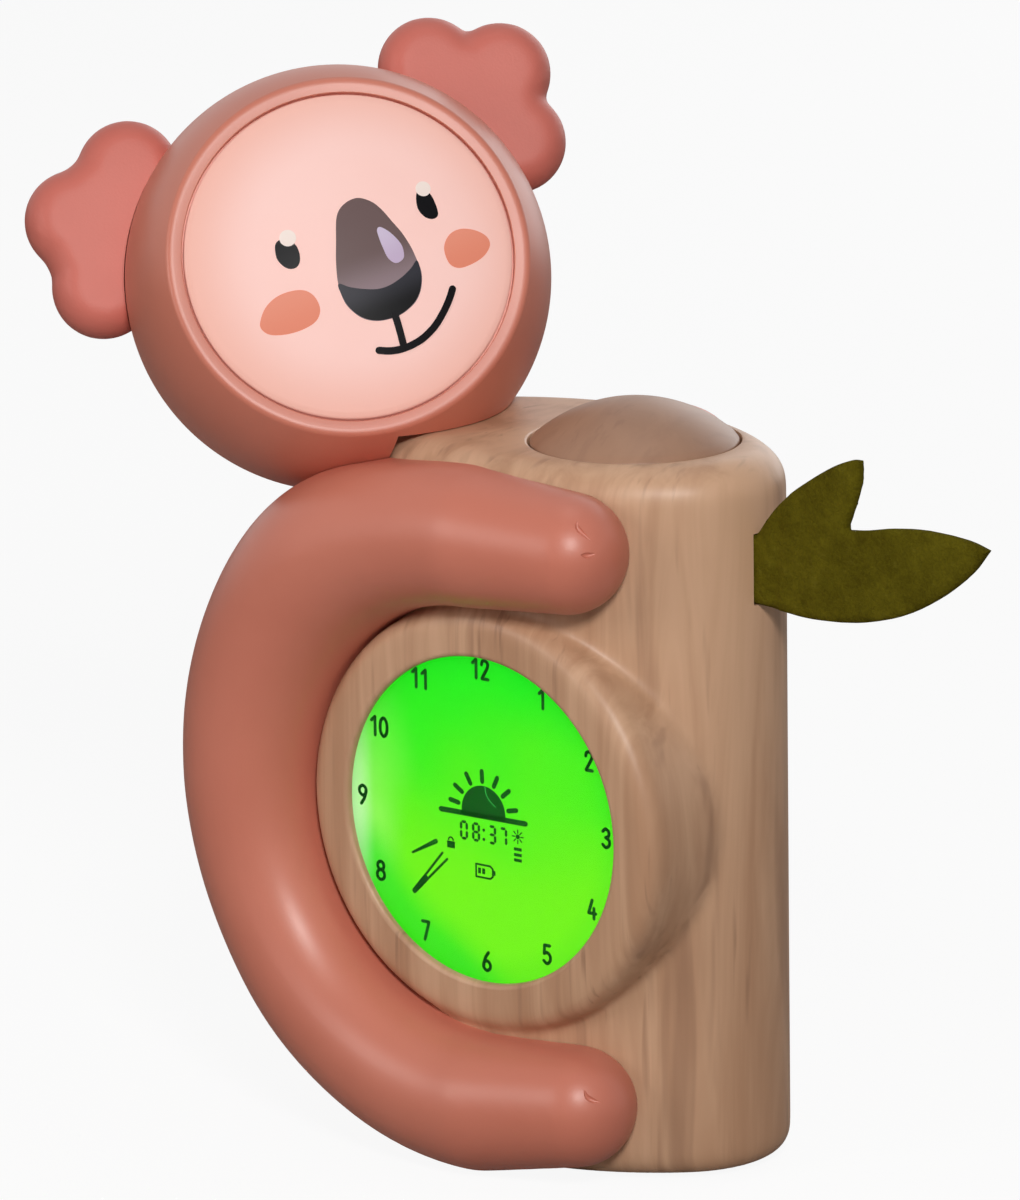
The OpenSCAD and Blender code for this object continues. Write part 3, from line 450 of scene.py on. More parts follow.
def newGroup(name, inputs, outputs):  # inputs: a number, a colour, or None for a vector; outputs: their kinds
    kinds = {float: "NodeSocketFloat", tuple: "NodeSocketColor", type(None): "NodeSocketVector"}
    group = bpy.data.node_groups.new(name, "ShaderNodeTree")
    for label, value in inputs.items():
        socket = group.interface.new_socket(name=label, in_out="INPUT", socket_type=kinds[type(value)])
        if value is not None:
            socket.default_value = value
    for label, kind in outputs.items():
        group.interface.new_socket(name=label, in_out="OUTPUT", socket_type="NodeSocket" + kind)
    return group, group.nodes.new("NodeGroupInput").outputs, group.nodes.new("NodeGroupOutput")


def makeGrainGroup():  # soft moulded plastic: a fine bump and slow cloudiness
    group, start, end = newGroup("mouldedSkin", {
        "Vector": None,
        "Fine Scale": 2200.0,
        "Fine Depth": 0.06,
        "Cloud Scale": 28.0,
        "Base Roughness": 0.42,
        "Rough Spread": 0.08,
    }, {"Cloud": "Float", "Roughness": "Float", "Normal": "Vector"})
    fine, cloud = (addNode(group, "ShaderNodeTexNoise", {"Vector": start["Vector"], "Scale": start[label],
                                                         "Detail": detail}).outputs[0]
                   for label, detail in (("Fine Scale", 2), ("Cloud Scale", 3)))
    spread = mathNode(group, "SUBTRACT", cloud, 0.5)
    rough = mathNode(group, "MULTIPLY_ADD", spread, start["Rough Spread"], start["Base Roughness"])
    values = {"Distance": 0.0002, "Strength": start["Fine Depth"], "Height": fine}
    bump = addNode(group, "ShaderNodeBump", values).outputs[0]
    feed(group, end, {"Cloud": cloud, "Roughness": rough, "Normal": bump})
    return group


def makeWoodGroup():  # printed wood: slow tone bands, long streaks and short dark pores, all along Z
    group, start, end = newGroup("woodPrint", {
        "Vector": None,
        "Light Colour": (0.5, 0.3, 0.2, 1),
        "Dark Colour": (0.4, 0.22, 0.14, 1),
        "Pore Colour": (0.2, 0.11, 0.07, 1),
        "Pore Amount": 0.5,
        "Band Amount": 0.6,
        "Streak Amount": 0.3,
    }, {"Colour": "Color", "Pores": "Float"})
    vector = start["Vector"]
    bands = noiseOf(group, vector, (150, 80, 9), 4, 0.6, 0.8)
    slow = noiseOf(group, vector, (38, 38, 10), 2, 0.5, 0.4)
    tone = smoothRange(group, weighted(group, bands, 0.6, slow, 0.4), 0.36, 0.66)
    tone = times(group, tone, start["Band Amount"])
    base = mixColour(group, tone, start["Light Colour"], start["Dark Colour"])
    streaks = noiseOf(group, vector, (300, 110, 13), 2, 0.5, 0.6, shift=(1, 4, 2))
    streaks = times(group, smoothRange(group, streaks, 0.57, 0.75), start["Streak Amount"])
    base = mixColour(group, streaks, base, start["Pore Colour"])
    pores = smoothRange(group, noiseOf(group, vector, (620, 230, 34), 2, 0.5, 0.3), 0.60, 0.74)
    where = smoothRange(group, noiseOf(group, vector, (60, 60, 22), 2, shift=(3, 7, 1)), 0.44, 0.64)
    pores = times(group, times(group, pores, where), start["Pore Amount"])
    feed(group, end, {"Colour": mixColour(group, pores, base, start["Pore Colour"]), "Pores": pores})
    return group


grainGroup = makeGrainGroup()
woodGroup = makeWoodGroup()


def newMaterial(name):
    material = bpy.data.materials.new(name)
    material.use_nodes = True
    tree = material.node_tree
    tree.nodes.clear()
    shader = addNode(tree, "ShaderNodeBsdfPrincipled", {})
    addNode(tree, "ShaderNodeOutputMaterial", {0: shader.outputs[0]})
    return material, tree, shader, addNode(tree, "ShaderNodeTexCoord", {}).outputs["Object"]


def grainSkin(tree, shader, place, rough, depth, spread=0.08, fine=2200.0):  # gives the cloudiness
    values = {"Vector": place, "Base Roughness": rough, "Rough Spread": spread, "Fine Depth": depth,
              "Fine Scale": fine}
    skin = addNode(tree, "ShaderNodeGroup", values, node_tree=grainGroup).outputs
    feed(tree, shader, {"Roughness": skin["Roughness"], "Normal": skin["Normal"]})
    return skin["Cloud"]


def plasticLook(name, colour, darker, rough=0.42, depth=0.06, spread=0.08, specular=0.5, fine=2200.0):
    material, tree, shader, place = newMaterial(name)
    tone = rangeOf(tree, grainSkin(tree, shader, place, rough, depth, spread, fine), 0.35, 0.65)
    feed(tree, shader, {"Base Color": mixColour(tree, tone, colour, darker), "Specular IOR Level": specular})
    return material


def metalLook(name, colour, rough):
    material, tree, shader, place = newMaterial(name)
    turned = noiseOf(tree, place, (900, 900, 4000), 2)
    darker = tuple(c * 0.82 for c in colour[:3]) + (1,)
    feed(tree, shader, {"Base Color": mixColour(tree, turned, colour, darker), "Metallic": 1.0,
                        "Roughness": rangeOf(tree, turned, 0.3, 0.7, rough - 0.06, rough + 0.08)})
    return material


woodColours = {
    "light": linear(212, 171, 139),
    "dark": linear(184, 141, 110),
    "pore": linear(138, 99, 76),
}
capColours = {
    "light": linear(166, 127, 102),
    "dark": linear(153, 115, 92),
    "pore": linear(139, 102, 82),
}


def woodLook(name, colours, pores, bands, streaks, rough):
    material, tree, shader, place = newMaterial(name)
    values = {"Vector": place, "Light Colour": colours["light"], "Dark Colour": colours["dark"],
              "Pore Colour": colours["pore"], "Pore Amount": pores, "Band Amount": bands,
              "Streak Amount": streaks}
    wood = addNode(tree, "ShaderNodeGroup", values, node_tree=woodGroup)
    grainSkin(tree, shader, place, rough, 0.05, 0.1)
    feed(tree, shader, {"Base Color": wood.outputs["Colour"], "Specular IOR Level": 0.42})
    return material


plastics = {  # a colour and its darker cloud, then what isn't usual
    "koala": ("koalaSkin", (209, 125, 104), (202, 118, 97), {"rough": 0.38}),
    "ears": ("earSkin", (209, 115, 102), (203, 109, 96), {"rough": 0.5, "depth": 0.14, "specular": 0.35}),
    "white": ("whitePlastic", (233, 232, 228), (226, 225, 220), {"rough": 0.4}),
    "grey": ("greyPlastic", (84, 85, 88), (74, 75, 78), {"rough": 0.5, "depth": 0.12}),
    "base": ("basePlastic", (146, 112, 88), (136, 103, 80), {"rough": 0.6, "depth": 0.3, "fine": 1400.0}),
    "pad": ("padRubber", (52, 51, 50), (42, 41, 40),
            {"rough": 0.82, "depth": 0.5, "spread": 0.1, "specular": 0.25, "fine": 1500.0}),
    "board": ("circuitBoard", (20, 98, 58), (16, 84, 50), {"rough": 0.3, "depth": 0.02}),
    "cell": ("cellWrap", (40, 96, 170), (34, 84, 156), {"rough": 0.25, "depth": 0.03}),
    "black": ("speakerPaper", (38, 38, 40), (28, 28, 30), {"rough": 0.7, "depth": 0.4, "fine": 1200.0}),
}
looks = {name: plasticLook(title, linear(*colour), linear(*darker), **more)
         for name, (title, colour, darker, more) in plastics.items()}
looks["wood"] = woodLook("woodPrint", woodColours, 0.6, 1.0, 0.42, 0.42)
looks["cap"] = woodLook("capPrint", capColours, 0.35, 0.8, 0.3, 0.44)
looks["steel"] = metalLook("zincSteel", linear(196, 197, 200), 0.32)
print("materials made")

trunkLook = {
    "voxel": 0.8 * mm,
    "smoothing": 12,
    "sideRings": 22,
    "ringGap": 3 * mm,
    "drumStart": (2 * mm, 8 * mm),
    "openingRoom": [(0, 21 * mm), (35.6 * mm, 21 * mm), (35.6 * mm, 27.2 * mm), (dial["radius"], 27.7 * mm)],
    "openingEdge": 0.9 * mm,
    "hollowFoot": 3.4 * mm,
    "hollowRound": (6 * mm, 3.9 * mm),
    "footRim": 6.5 * mm,
    "buttonX": 12.4 * mm,
    "buttonHole": 18.35 * mm,
    "buttonRim": [(0, -6), (0, -0.5), (0.15, -0.15), (0.5, 0), (0.5, 3)],
    "keyHole": 3.6 * mm,
    "rearWall": (17 * mm, 34 * mm),
    "soundHole": 0.9 * mm,
    "soundPitch": 4 * mm,
    "soundRings": [1, 6, 12],
    "speakerPlace": (-4 * mm, 56 * mm),
    "keyHeight": 86 * mm,
    "keyPitch": 9 * mm,
    "socketHalf": 4.65 * mm,
    "socketRadius": 1.75 * mm,
    "socketHeight": 30 * mm,
    "socketDepths": (18 * mm, 34 * mm),
    "leafX": 39.94 * mm,
    "leafY": -1.5 * mm,
    "leafZ": (101.05 * mm, 113.55 * mm),
    "slotHalf": 1.35 * mm,
    "neckPlace": (-27.5 * mm, 5.5 * mm),
    "neckHole": 4.65 * mm,
}


def sideY(x, inset=0.0):
    return math.sqrt((sideRadius - inset) ** 2 - x * x) - sideShift


def roundHole(radius, low, high, steps, place):
    return revolve("hole", [(0, low), (radius, low), (radius, high), (0, high)], steps, place)


def makeSoundHoles():  # repeats one round cutter on rings, as geometry nodes
    tree = bpy.data.node_groups.new("soundHoles", "GeometryNodeTree")
    tree.interface.new_socket(name="Geometry", in_out="OUTPUT", socket_type="NodeSocketGeometry")
    sizes = {}
    for label, value in (("Hole Radius", trunkLook["soundHole"]), ("Ring Pitch", trunkLook["soundPitch"])):
        socket = tree.interface.new_socket(name=label, in_out="INPUT", socket_type="NodeSocketFloat")
        socket.default_value = value
        sizes[socket.identifier] = value
    start = tree.nodes.new("NodeGroupInput").outputs
    gather = tree.nodes.new("GeometryNodeJoinGeometry")
    for ring, count in enumerate(trunkLook["soundRings"]):
        values = {"Vertices": max(count, 3), "Radius": times(tree, start["Ring Pitch"], ring)}
        circle = addNode(tree, "GeometryNodeMeshCircle", values)
        merge = addNode(tree, "GeometryNodeMergeByDistance", {"Geometry": circle.outputs[0]})
        tree.links.new(merge.outputs[0], gather.inputs[0])
    values = {"Vertices": 20, "Depth": 12 * mm, "Radius": start["Hole Radius"]}
    rod = addNode(tree, "GeometryNodeMeshCylinder", values)
    values = {"Points": gather.outputs[0], "Instance": rod.outputs[0]}
    put = addNode(tree, "GeometryNodeInstanceOnPoints", values)
    real = addNode(tree, "GeometryNodeRealizeInstances", {0: put.outputs[0]})
    paint = addNode(tree, "GeometryNodeSetMaterial", {"Geometry": real.outputs[0], "Material": looks["wood"]})
    addNode(tree, "NodeGroupOutput", {0: paint.outputs[0]})
    holder = addObject("soundCutters", bpy.data.meshes.new("soundCutters"))
    step = holder.modifiers.new("holes", "NODES")
    step.node_group = tree
    for identifier, value in sizes.items():
        step[identifier] = value
    mesh = evaluatedCopy(holder)
    bpy.data.objects.remove(holder)
    mesh.transform(rearPlace(*trunkLook["speakerPlace"]) @ Matrix.Translation((0, 0, 24 * mm)))
    return mesh


def makeSocketHole():
    r, z = trunkLook["socketRadius"], trunkLook["socketHeight"]
    x = trunkLook["socketHalf"] - r
    rows = arcPoints(x, z, r, -90, 90, 12) + arcPoints(-x, z, r, 90, 270, 12)
    count = len(rows)
    points = [(x, y, z) for y in trunkLook["socketDepths"] for x, z in rows]
    faces = [tuple(range(count)), tuple(range(2 * count - 1, count - 1, -1))]
    faces += [(i, (i + 1) % count, count + (i + 1) % count, count + i) for i in range(count)]
    return meshFromData("socketHole", points, faces)


def trunkForms():  # the oval trunk and the drum, before they become one skin
    rise, foot, top, bottom = trunk["topRound"], trunk["footRound"], trunk["height"], trunk["footGap"]
    gap = trunkLook["ringGap"]
    levels = [(bottom, foot)]
    levels += [(bottom + foot * (1 - math.cos(a)), foot * (1 - math.sin(a)))
               for a in np.radians(np.linspace(15, 90, 6))]
    levels += [(z, 0.0) for z in np.linspace(bottom + foot + gap, top - rise - gap, trunkLook["sideRings"])]
    levels += [(top - rise * (1 - math.sin(a)), rise * (1 - math.cos(a)))
               for a in np.radians(np.linspace(0, 84, 12))]
    levels += [(top, rise), (top, rise + 2 * mm)]
    front, rounding, outer = dial["drumFront"], dial["drumRound"], dial["drumRadius"]
    back, start = trunkLook["drumStart"]
    rim = [(0, back), (outer, back)] + [(outer, z) for z in np.linspace(start, front - rounding, 8)]
    rim += arcPoints(outer - rounding, front - rounding, rounding, 8, 90, 10)
    rim += [(dial["radius"] + 3 * mm, front), (0, front)]
    return [ovalLoft(levels), revolve("drum", rim, 256, dialPlace)]


def dialOpening():
    front, r, edge = dial["drumFront"], dial["radius"], trunkLook["openingEdge"]
    opening = trunkLook["openingRoom"] + [(r, front - edge)]
    opening += [(r + edge * (1 - math.cos(a)), front - edge * (1 - math.sin(a)))
                for a in np.radians(np.linspace(20, 90, 5))]
    opening += [(r + edge, front + 2 * mm), (0, front + 2 * mm)]
    return revolve("opening", opening, 256, dialPlace)


def makeTrunk():
    top, wall = trunk["height"], trunk["wall"]
    whole = remeshed(joined("forms", trunkForms()), trunkLook["voxel"], trunkLook["smoothing"])
    drop, inset = trunkLook["hollowRound"]
    hollow = ovalLoft([(trunkLook["hollowFoot"], wall), (top - drop, wall),
                       (top - trunk["topWall"], wall + inset)], ovalTurns[::4])
    footHole = ovalLoft([(-1 * mm, trunkLook["footRim"]), (4.4 * mm, trunkLook["footRim"])], ovalTurns[::2])
    hole = [(trunkLook["buttonHole"] + out * mm, z * mm) for out, z in trunkLook["buttonRim"]]
    hole = [(0, hole[0][1])] + hole + [(0, hole[-1][1])]
    cutters = [hollow, footHole, dialOpening(),
               revolve("buttonHole", hole, 160, Matrix.Translation((trunkLook["buttonX"], 0, top))),
               roundHole(trunkLook["neckHole"], -6 * mm, 3 * mm, 48,
                         Matrix.Translation((*trunkLook["neckPlace"], top)))]
    for i in range(4):
        place = rearPlace((i - 1.5) * trunkLook["keyPitch"], trunkLook["keyHeight"])
        cutters.append(roundHole(trunkLook["keyHole"], *trunkLook["rearWall"], 48, place))
    cutters += [makeSoundHoles(), makeSocketHole()]
    leafX, leafY, (low, high), slotHalf = (trunkLook[k] for k in ("leafX", "leafY", "leafZ", "slotHalf"))
    cutters.append(boxMesh((leafX - 5 * mm, leafY - slotHalf, low), (leafX + 3 * mm, leafY + slotHalf, high)))
    mesh = cutWith(whole, cutters, 2e-6)
    pieceFromMesh("trunk", mesh, looks["wood"], ["trunk_shell"], sharp=34)


makeTrunk()
print("trunk made")

body = {
    "bendRadius": 50.1 * mm,
    "tube": 12.2 * mm,
    "side": 28.5 * mm,
    "swellAngles": [90, 105, 112, 120, 128, 136, 150, 165, 180, 195, 210, 225, 240, 255, 270],
    "swell": [0, 0.1, 1.4, 3.8, 5.0, 4.7, 3.0, 1.5, 0, -0.8, -1.1, -0.5, -0.4, 0, 0],
    "swellSpan": 7,
    "swellOut": 0.85,
    "hand": (18.5 * mm, 26.8 * mm, 112.1 * mm, 10.5 * mm),
    "foot": (18.5 * mm, 26.4 * mm, 14.3 * mm, 10.6 * mm),
    "rearReach": 6 * mm,
    "gap": 0.22 * mm,
    "voxel": 0.85 * mm,
    "smoothing": 10,
    "creases": {  # small dents at the finger and toe tips: the limb, then the directions they run through
        "hand": [[(0.55, -0.46, 0.70), (0.60, -0.51, 0.62), (0.68, -0.50, 0.54), (0.80, -0.44, 0.42)],
                 [(0.75, -0.63, 0.21), (0.82, -0.55, 0.19), (0.885, -0.42, 0.20)]],
        "foot": [[(0.62, -0.58, 0.53), (0.68, -0.59, 0.43), (0.76, -0.54, 0.37), (0.83, -0.45, 0.33)]],
    },
    "creaseRadius": 0.5 * mm,
}


def swellAt(angle):  # how far the body stands out past its even ring, averaged over a few degrees
    span = np.arange(angle - body["swellSpan"], angle + body["swellSpan"] + 0.1)
    return float(np.mean(np.interp(span, body["swellAngles"], body["swell"]))) * mm


def limbPath(reach):  # middle line and radius from the hand, round the bend, to the foot
    y, z, r = body["hand"][1:]
    top = dial["height"] + body["bendRadius"]
    path = [(reach * (1 - t), -(y + (body["side"] - y) * t), z + (top - z) * t, r + (body["tube"] - r) * t)
            for t in np.linspace(0, 0.92, 12)]
    for a in np.arange(90, 270.1, 3):
        grow = swellAt(a) / 2
        x, height = polar(body["bendRadius"] + grow, a, 0, dial["height"])
        path.append((x, -body["side"] + max(grow, 0) * body["swellOut"], height, body["tube"] + grow))
    y, z, r = body["foot"][1:]
    bottom = dial["height"] - body["bendRadius"]
    path += [(reach * t, -(body["side"] + (y - body["side"]) * t), bottom + (z - bottom) * t,
              body["tube"] + (r - body["tube"]) * t) for t in np.linspace(0.08, 1, 12)]
    return path


def tubeMesh(path, steps=48):
    points, faces = [], []
    for i, (x, y, z, r) in enumerate(path):
        before, after = path[max(i - 1, 0)], path[min(i + 1, len(path) - 1)]
        along = Vector([after[k] - before[k] for k in range(3)]).normalized()
        side = along.cross(Vector((0, 1, 0))).normalized()
        other = along.cross(side).normalized()
        for k in range(steps):
            a = 2 * math.pi * k / steps
            points.append(Vector((x, y, z)) + (side * math.cos(a) + other * math.sin(a)) * r)
        if i:
            for k in range(steps):
                m = (k + 1) % steps
                faces.append(((i - 1) * steps + k, (i - 1) * steps + m, i * steps + m, i * steps + k))
    faces.append(tuple(range(steps)))
    faces.append(tuple(len(points) - steps + k for k in range(steps)))
    return meshFromData("tube", points, faces)


def ball(x, y, z, r, rings=28):
    profile = [(0, -r)] + arcPoints(0, 0, r, -80, 80, rings) + [(0, r)]
    return revolve("ball", profile, 2 * rings, Matrix.Translation((x, y, z)))


def backBand():  # the broad back that joins the front and the rear limbs
    points, faces, side = [], [], body["side"]
    for i, turn in enumerate(np.arange(90, 270.1, 3)):
        a = math.radians(turn)
        outer = body["bendRadius"] + body["tube"] + swellAt(turn)
        inner = body["bendRadius"] - body["tube"]
        points += [(ring * math.cos(a), y, dial["height"] + ring * math.sin(a))
                   for ring, y in ((outer, -side), (outer, side), (inner, side), (inner, -side))]
        if i:
            old, new = 4 * (i - 1), 4 * i
            faces += [(old + k, old + (k + 1) % 4, new + (k + 1) % 4, new + k) for k in range(4)]
    faces += [(0, 1, 2, 3), tuple(len(points) - 4 + k for k in range(4))]
    return meshFromData("band", points, faces)


def creaseCutters():  # bent tapered rods that lie in the skin of a limb's round end
    cutters = []
    for limb, paths in body["creases"].items():
        x, y, z, r = body[limb]
        middle = Vector((x, -y, z))
        for path in paths:
            ways = [Vector(way).normalized() for way in smoothOpen(path, 4)]
            swell = [0.25 + 0.75 * math.sin(math.pi * i / (len(ways) - 1)) for i in range(len(ways))]
            rod = [(*(middle + way * r), body["creaseRadius"] * share) for way, share in zip(ways, swell)]
            cutters.append(tubeMesh(rod, 12))
    return cutters


def makeBody():
    mirrored = [(x, -y, z, r) for x, y, z, r in limbPath(body["rearReach"])]
    forms = [backBand()]
    for way in (limbPath(body["hand"][0]), mirrored):
        forms += [tubeMesh(way), ball(*way[0]), ball(*way[-1])]
    skin = remeshed(joined("forms", forms), body["voxel"], body["smoothing"])
    gap = body["gap"]
    clear = ovalLoft([(-20 * mm, -gap), (trunk["height"] + gap, -gap)])
    headRoom = ball(*head["place"], head["radius"] + gap, rings=60)
    mesh = cutWith(skin, [clear, headRoom] + creaseCutters(), 2e-6)
    pieceFromMesh("koalaBody", mesh, looks["koala"], ["koala_front", "koala_rear"], sharp=40)


makeBody()
print("body made")

headLook = {  # millimetres and degrees; the ring's points stand out and up from the lip round the face
    "ringWidth": 2.4 * mm,
    "ringDrop": 0.7 * mm,
    "lip": 0.26 * mm,
    "ring": [(2.71, -0.14), (2.4, 0.1), (1.98, 0.22), (1.4, 0.22), (0.14, 0.08), (0, -0.06), (0, -3.6)],
    "ringTurn": 31.4,
    "insideTurn": 28,
    "parting": 0.06 * mm,
    "edge": 0.25 * mm,
    "trunkGap": 0.2 * mm,
}


def makeHead():
    outer, inner, seam = head["radius"], head["radius"] - head["wall"], head["seam"]
    parting, edge, gap = headLook["parting"], headLook["edge"], headLook["trunkGap"]
    plane = math.sqrt(outer ** 2 - (head["faceRadius"] + headLook["ringWidth"]) ** 2) - headLook["ringDrop"]
    lip = head["faceRadius"] + headLook["lip"]
    seamOuter, seamInner = (math.sqrt(radius ** 2 - seam ** 2) for radius in (outer, inner))
    startTurn = math.degrees(math.asin((-seam + parting + edge) / outer))
    stopTurn = math.degrees(math.asin((-seam - parting - edge) / outer))
    front = [(seamInner, -seam + parting), (seamOuter - edge, -seam + parting)]
    front += arcPoints(0, 0, outer, startTurn, headLook["ringTurn"], 44)
    front += [(lip + out * mm, plane + up * mm) for out, up in headLook["ring"]]
    front += [polar(inner, headLook["insideTurn"])] + arcPoints(0, 0, inner, 24, -6, 8)
    rear = [(0, -outer)] + arcPoints(0, 0, outer, -88, stopTurn, 44)
    rear += [(seamOuter - edge, -seam - parting), (seamInner, -seam - parting)]
    rear += arcPoints(0, 0, inner, -10, -88, 14) + [(0, -inner)]
    clear = ovalLoft([(60 * mm, -gap), (trunk["height"] + gap, -gap)])
    for name, profile, closed, node in (("headFront", front, True, "head_front_shell"),
                                        ("headRear", rear, False, "head_rear_shell")):
        mesh = cutWith(revolve(name, profile, 200, facePlace, closed), [clear], 1e-6)
        pieceFromMesh(name, mesh, looks["koala"], [node], sharp=36)
    return plane


facePlane = makeHead()
faceSphere = (head["faceRadius"] ** 2 + head["faceDome"] ** 2) / (2 * head["faceDome"])
faceTop = facePlane + head["faceDome"]


def domeHeight(radius):
    return faceTop - faceSphere + math.sqrt(faceSphere ** 2 - radius ** 2)


faceSkin = {
    "rim": [(1.4, -3.7), (1.4, -2.1), (0, -2.0), (0, -0.35), (-0.1, -0.12)],  # mm out and up from the edge
    "play": 0.05 * mm,
    "trunkGap": 2.7 * mm,
    # middle of the painted shade that darkens the face towards its edge
    "middle": (1.5 * mm, 0),
    "glow": 0.13,
}


def faceLook():  # lit diffuser, with painted shade that makes it warmer and darker towards its edge
    material, tree, shader, place = newMaterial("faceDiffuser")
    middle = facePlace @ Vector((*faceSkin["middle"], facePlane))
    away = addNode(tree, "ShaderNodeVectorMath", {0: place, 1: middle}, operation="DISTANCE")
    r = head["faceRadius"]
    # painted shade: the colour, and with it the glow, darkens from 0.6 to 1.08 face radii out from the middle
    edge = smoothRange(tree, away.outputs["Value"], 0.6 * r, 1.08 * r)
    cloud = rangeOf(tree, grainSkin(tree, shader, place, 0.45, 0.03), 0.35, 0.65)
    paint = mixColour(tree, cloud, linear(249, 207, 200), linear(248, 203, 195))
    paint = mixColour(tree, edge, paint, linear(240, 184, 170))
    feed(tree, shader, {"Base Color": paint, "Emission Color": paint, "Emission Strength": faceSkin["glow"],
                        "Specular IOR Level": 0.15})
    return material


def makeFace():
    r, gap = head["faceRadius"] - faceSkin["play"], faceSkin["trunkGap"]
    profile = [(r + out * mm, facePlane + up * mm) for out, up in faceSkin["rim"]]
    profile = [(0, profile[0][1])] + profile
    profile += [(radius, domeHeight(radius)) for radius in np.linspace(r - 0.35 * mm, 1 * mm, 30)]
    mesh = revolve("facePanel", profile + [(0, faceTop)], 160, facePlace)
    mesh = cutWith(mesh, [ovalLoft([(60 * mm, -gap), (trunk["height"] + gap, -gap)])])
    pieceFromMesh("facePanel", mesh, faceLook(), ["face_panel"], sharp=40)


makeFace()


def strokeOutline(points, width, endRound=6):  # a round-ended stroke, of one width or a list of widths
    count = len(points)
    widths = width if isinstance(width, (list, tuple)) else [width] * count
    left, right = [], []
    for i, p in enumerate(points):
        a, b = np.array(points[max(i - 1, 0)]), np.array(points[min(i + 1, count - 1)])
        along = (b - a) / np.linalg.norm(b - a)
        across = np.array((-along[1], along[0])) * widths[i] / 2
        left.append(tuple(np.array(p) + across))
        right.append(tuple(np.array(p) - across))
    return (left[::-1] + capFrom(left[0], right[0], widths[0], endRound) + right
            + capFrom(right[-1], left[-1], widths[-1], endRound))


def capFrom(p, q, w, endRound):  # half circle from p to q about the stroke's end
    middle = (np.array(p) + np.array(q)) / 2
    start = math.atan2(p[1] - middle[1], p[0] - middle[0])
    return [(middle[0] + w / 2 * math.cos(start + math.pi * k / endRound),
             middle[1] + w / 2 * math.sin(start + math.pi * k / endRound)) for k in range(1, endRound)]


def filled(outline, grid):  # points and triangles of an outline's inside, in two dimensions
    count = len(outline)
    inside = []
    if grid:
        low, high = np.min(outline, axis=0), np.max(outline, axis=0)
        ring = np.array(outline)
        for x in np.arange(low[0] + grid / 2, high[0], grid):
            for y in np.arange(low[1] + grid / 2, high[1], grid):
                a, b = ring, np.roll(ring, -1, axis=0)
                crosses = ((a[:, 1] > y) != (b[:, 1] > y)) & (
                    x < (b[:, 0] - a[:, 0]) * (y - a[:, 1]) / (b[:, 1] - a[:, 1] + 1e-15) + a[:, 0])
                if crosses.sum() % 2 and np.min(np.hypot(ring[:, 0] - x, ring[:, 1] - y)) > grid * 0.35:
                    inside.append((x, y))
    points = [Vector(p) for p in list(outline) + inside]
    edges = [(i, (i + 1) % count) for i in range(count)]
    made = delaunay_2d_cdt(points, edges, [], 1, 1e-9)
    return [tuple(p) for p in made[0]], [tuple(f) for f in made[2]]


def printedPatch(outline, heightAt, lift, depth, place, grid):  # thin closed patch over a surface
    flat, triangles = filled(outline, grid)
    count = len(flat)
    points = [place @ Vector((x, y, heightAt(x, y) + lift)) for x, y in flat]
    points += [place @ Vector((x, y, heightAt(x, y) - depth)) for x, y in flat]
    edges = {}
    for f in triangles:
        for a, b in zip(f, f[1:] + f[:1]):
            edges[(a, b)] = edges.get((a, b), 0) + 1
    faces = [tuple(f) for f in triangles] + [tuple(count + i for i in f[::-1]) for f in triangles]
    faces += [(a, count + a, count + b, b) for a, b in edges if (b, a) not in edges]
    return meshFromData("patch", points, faces)


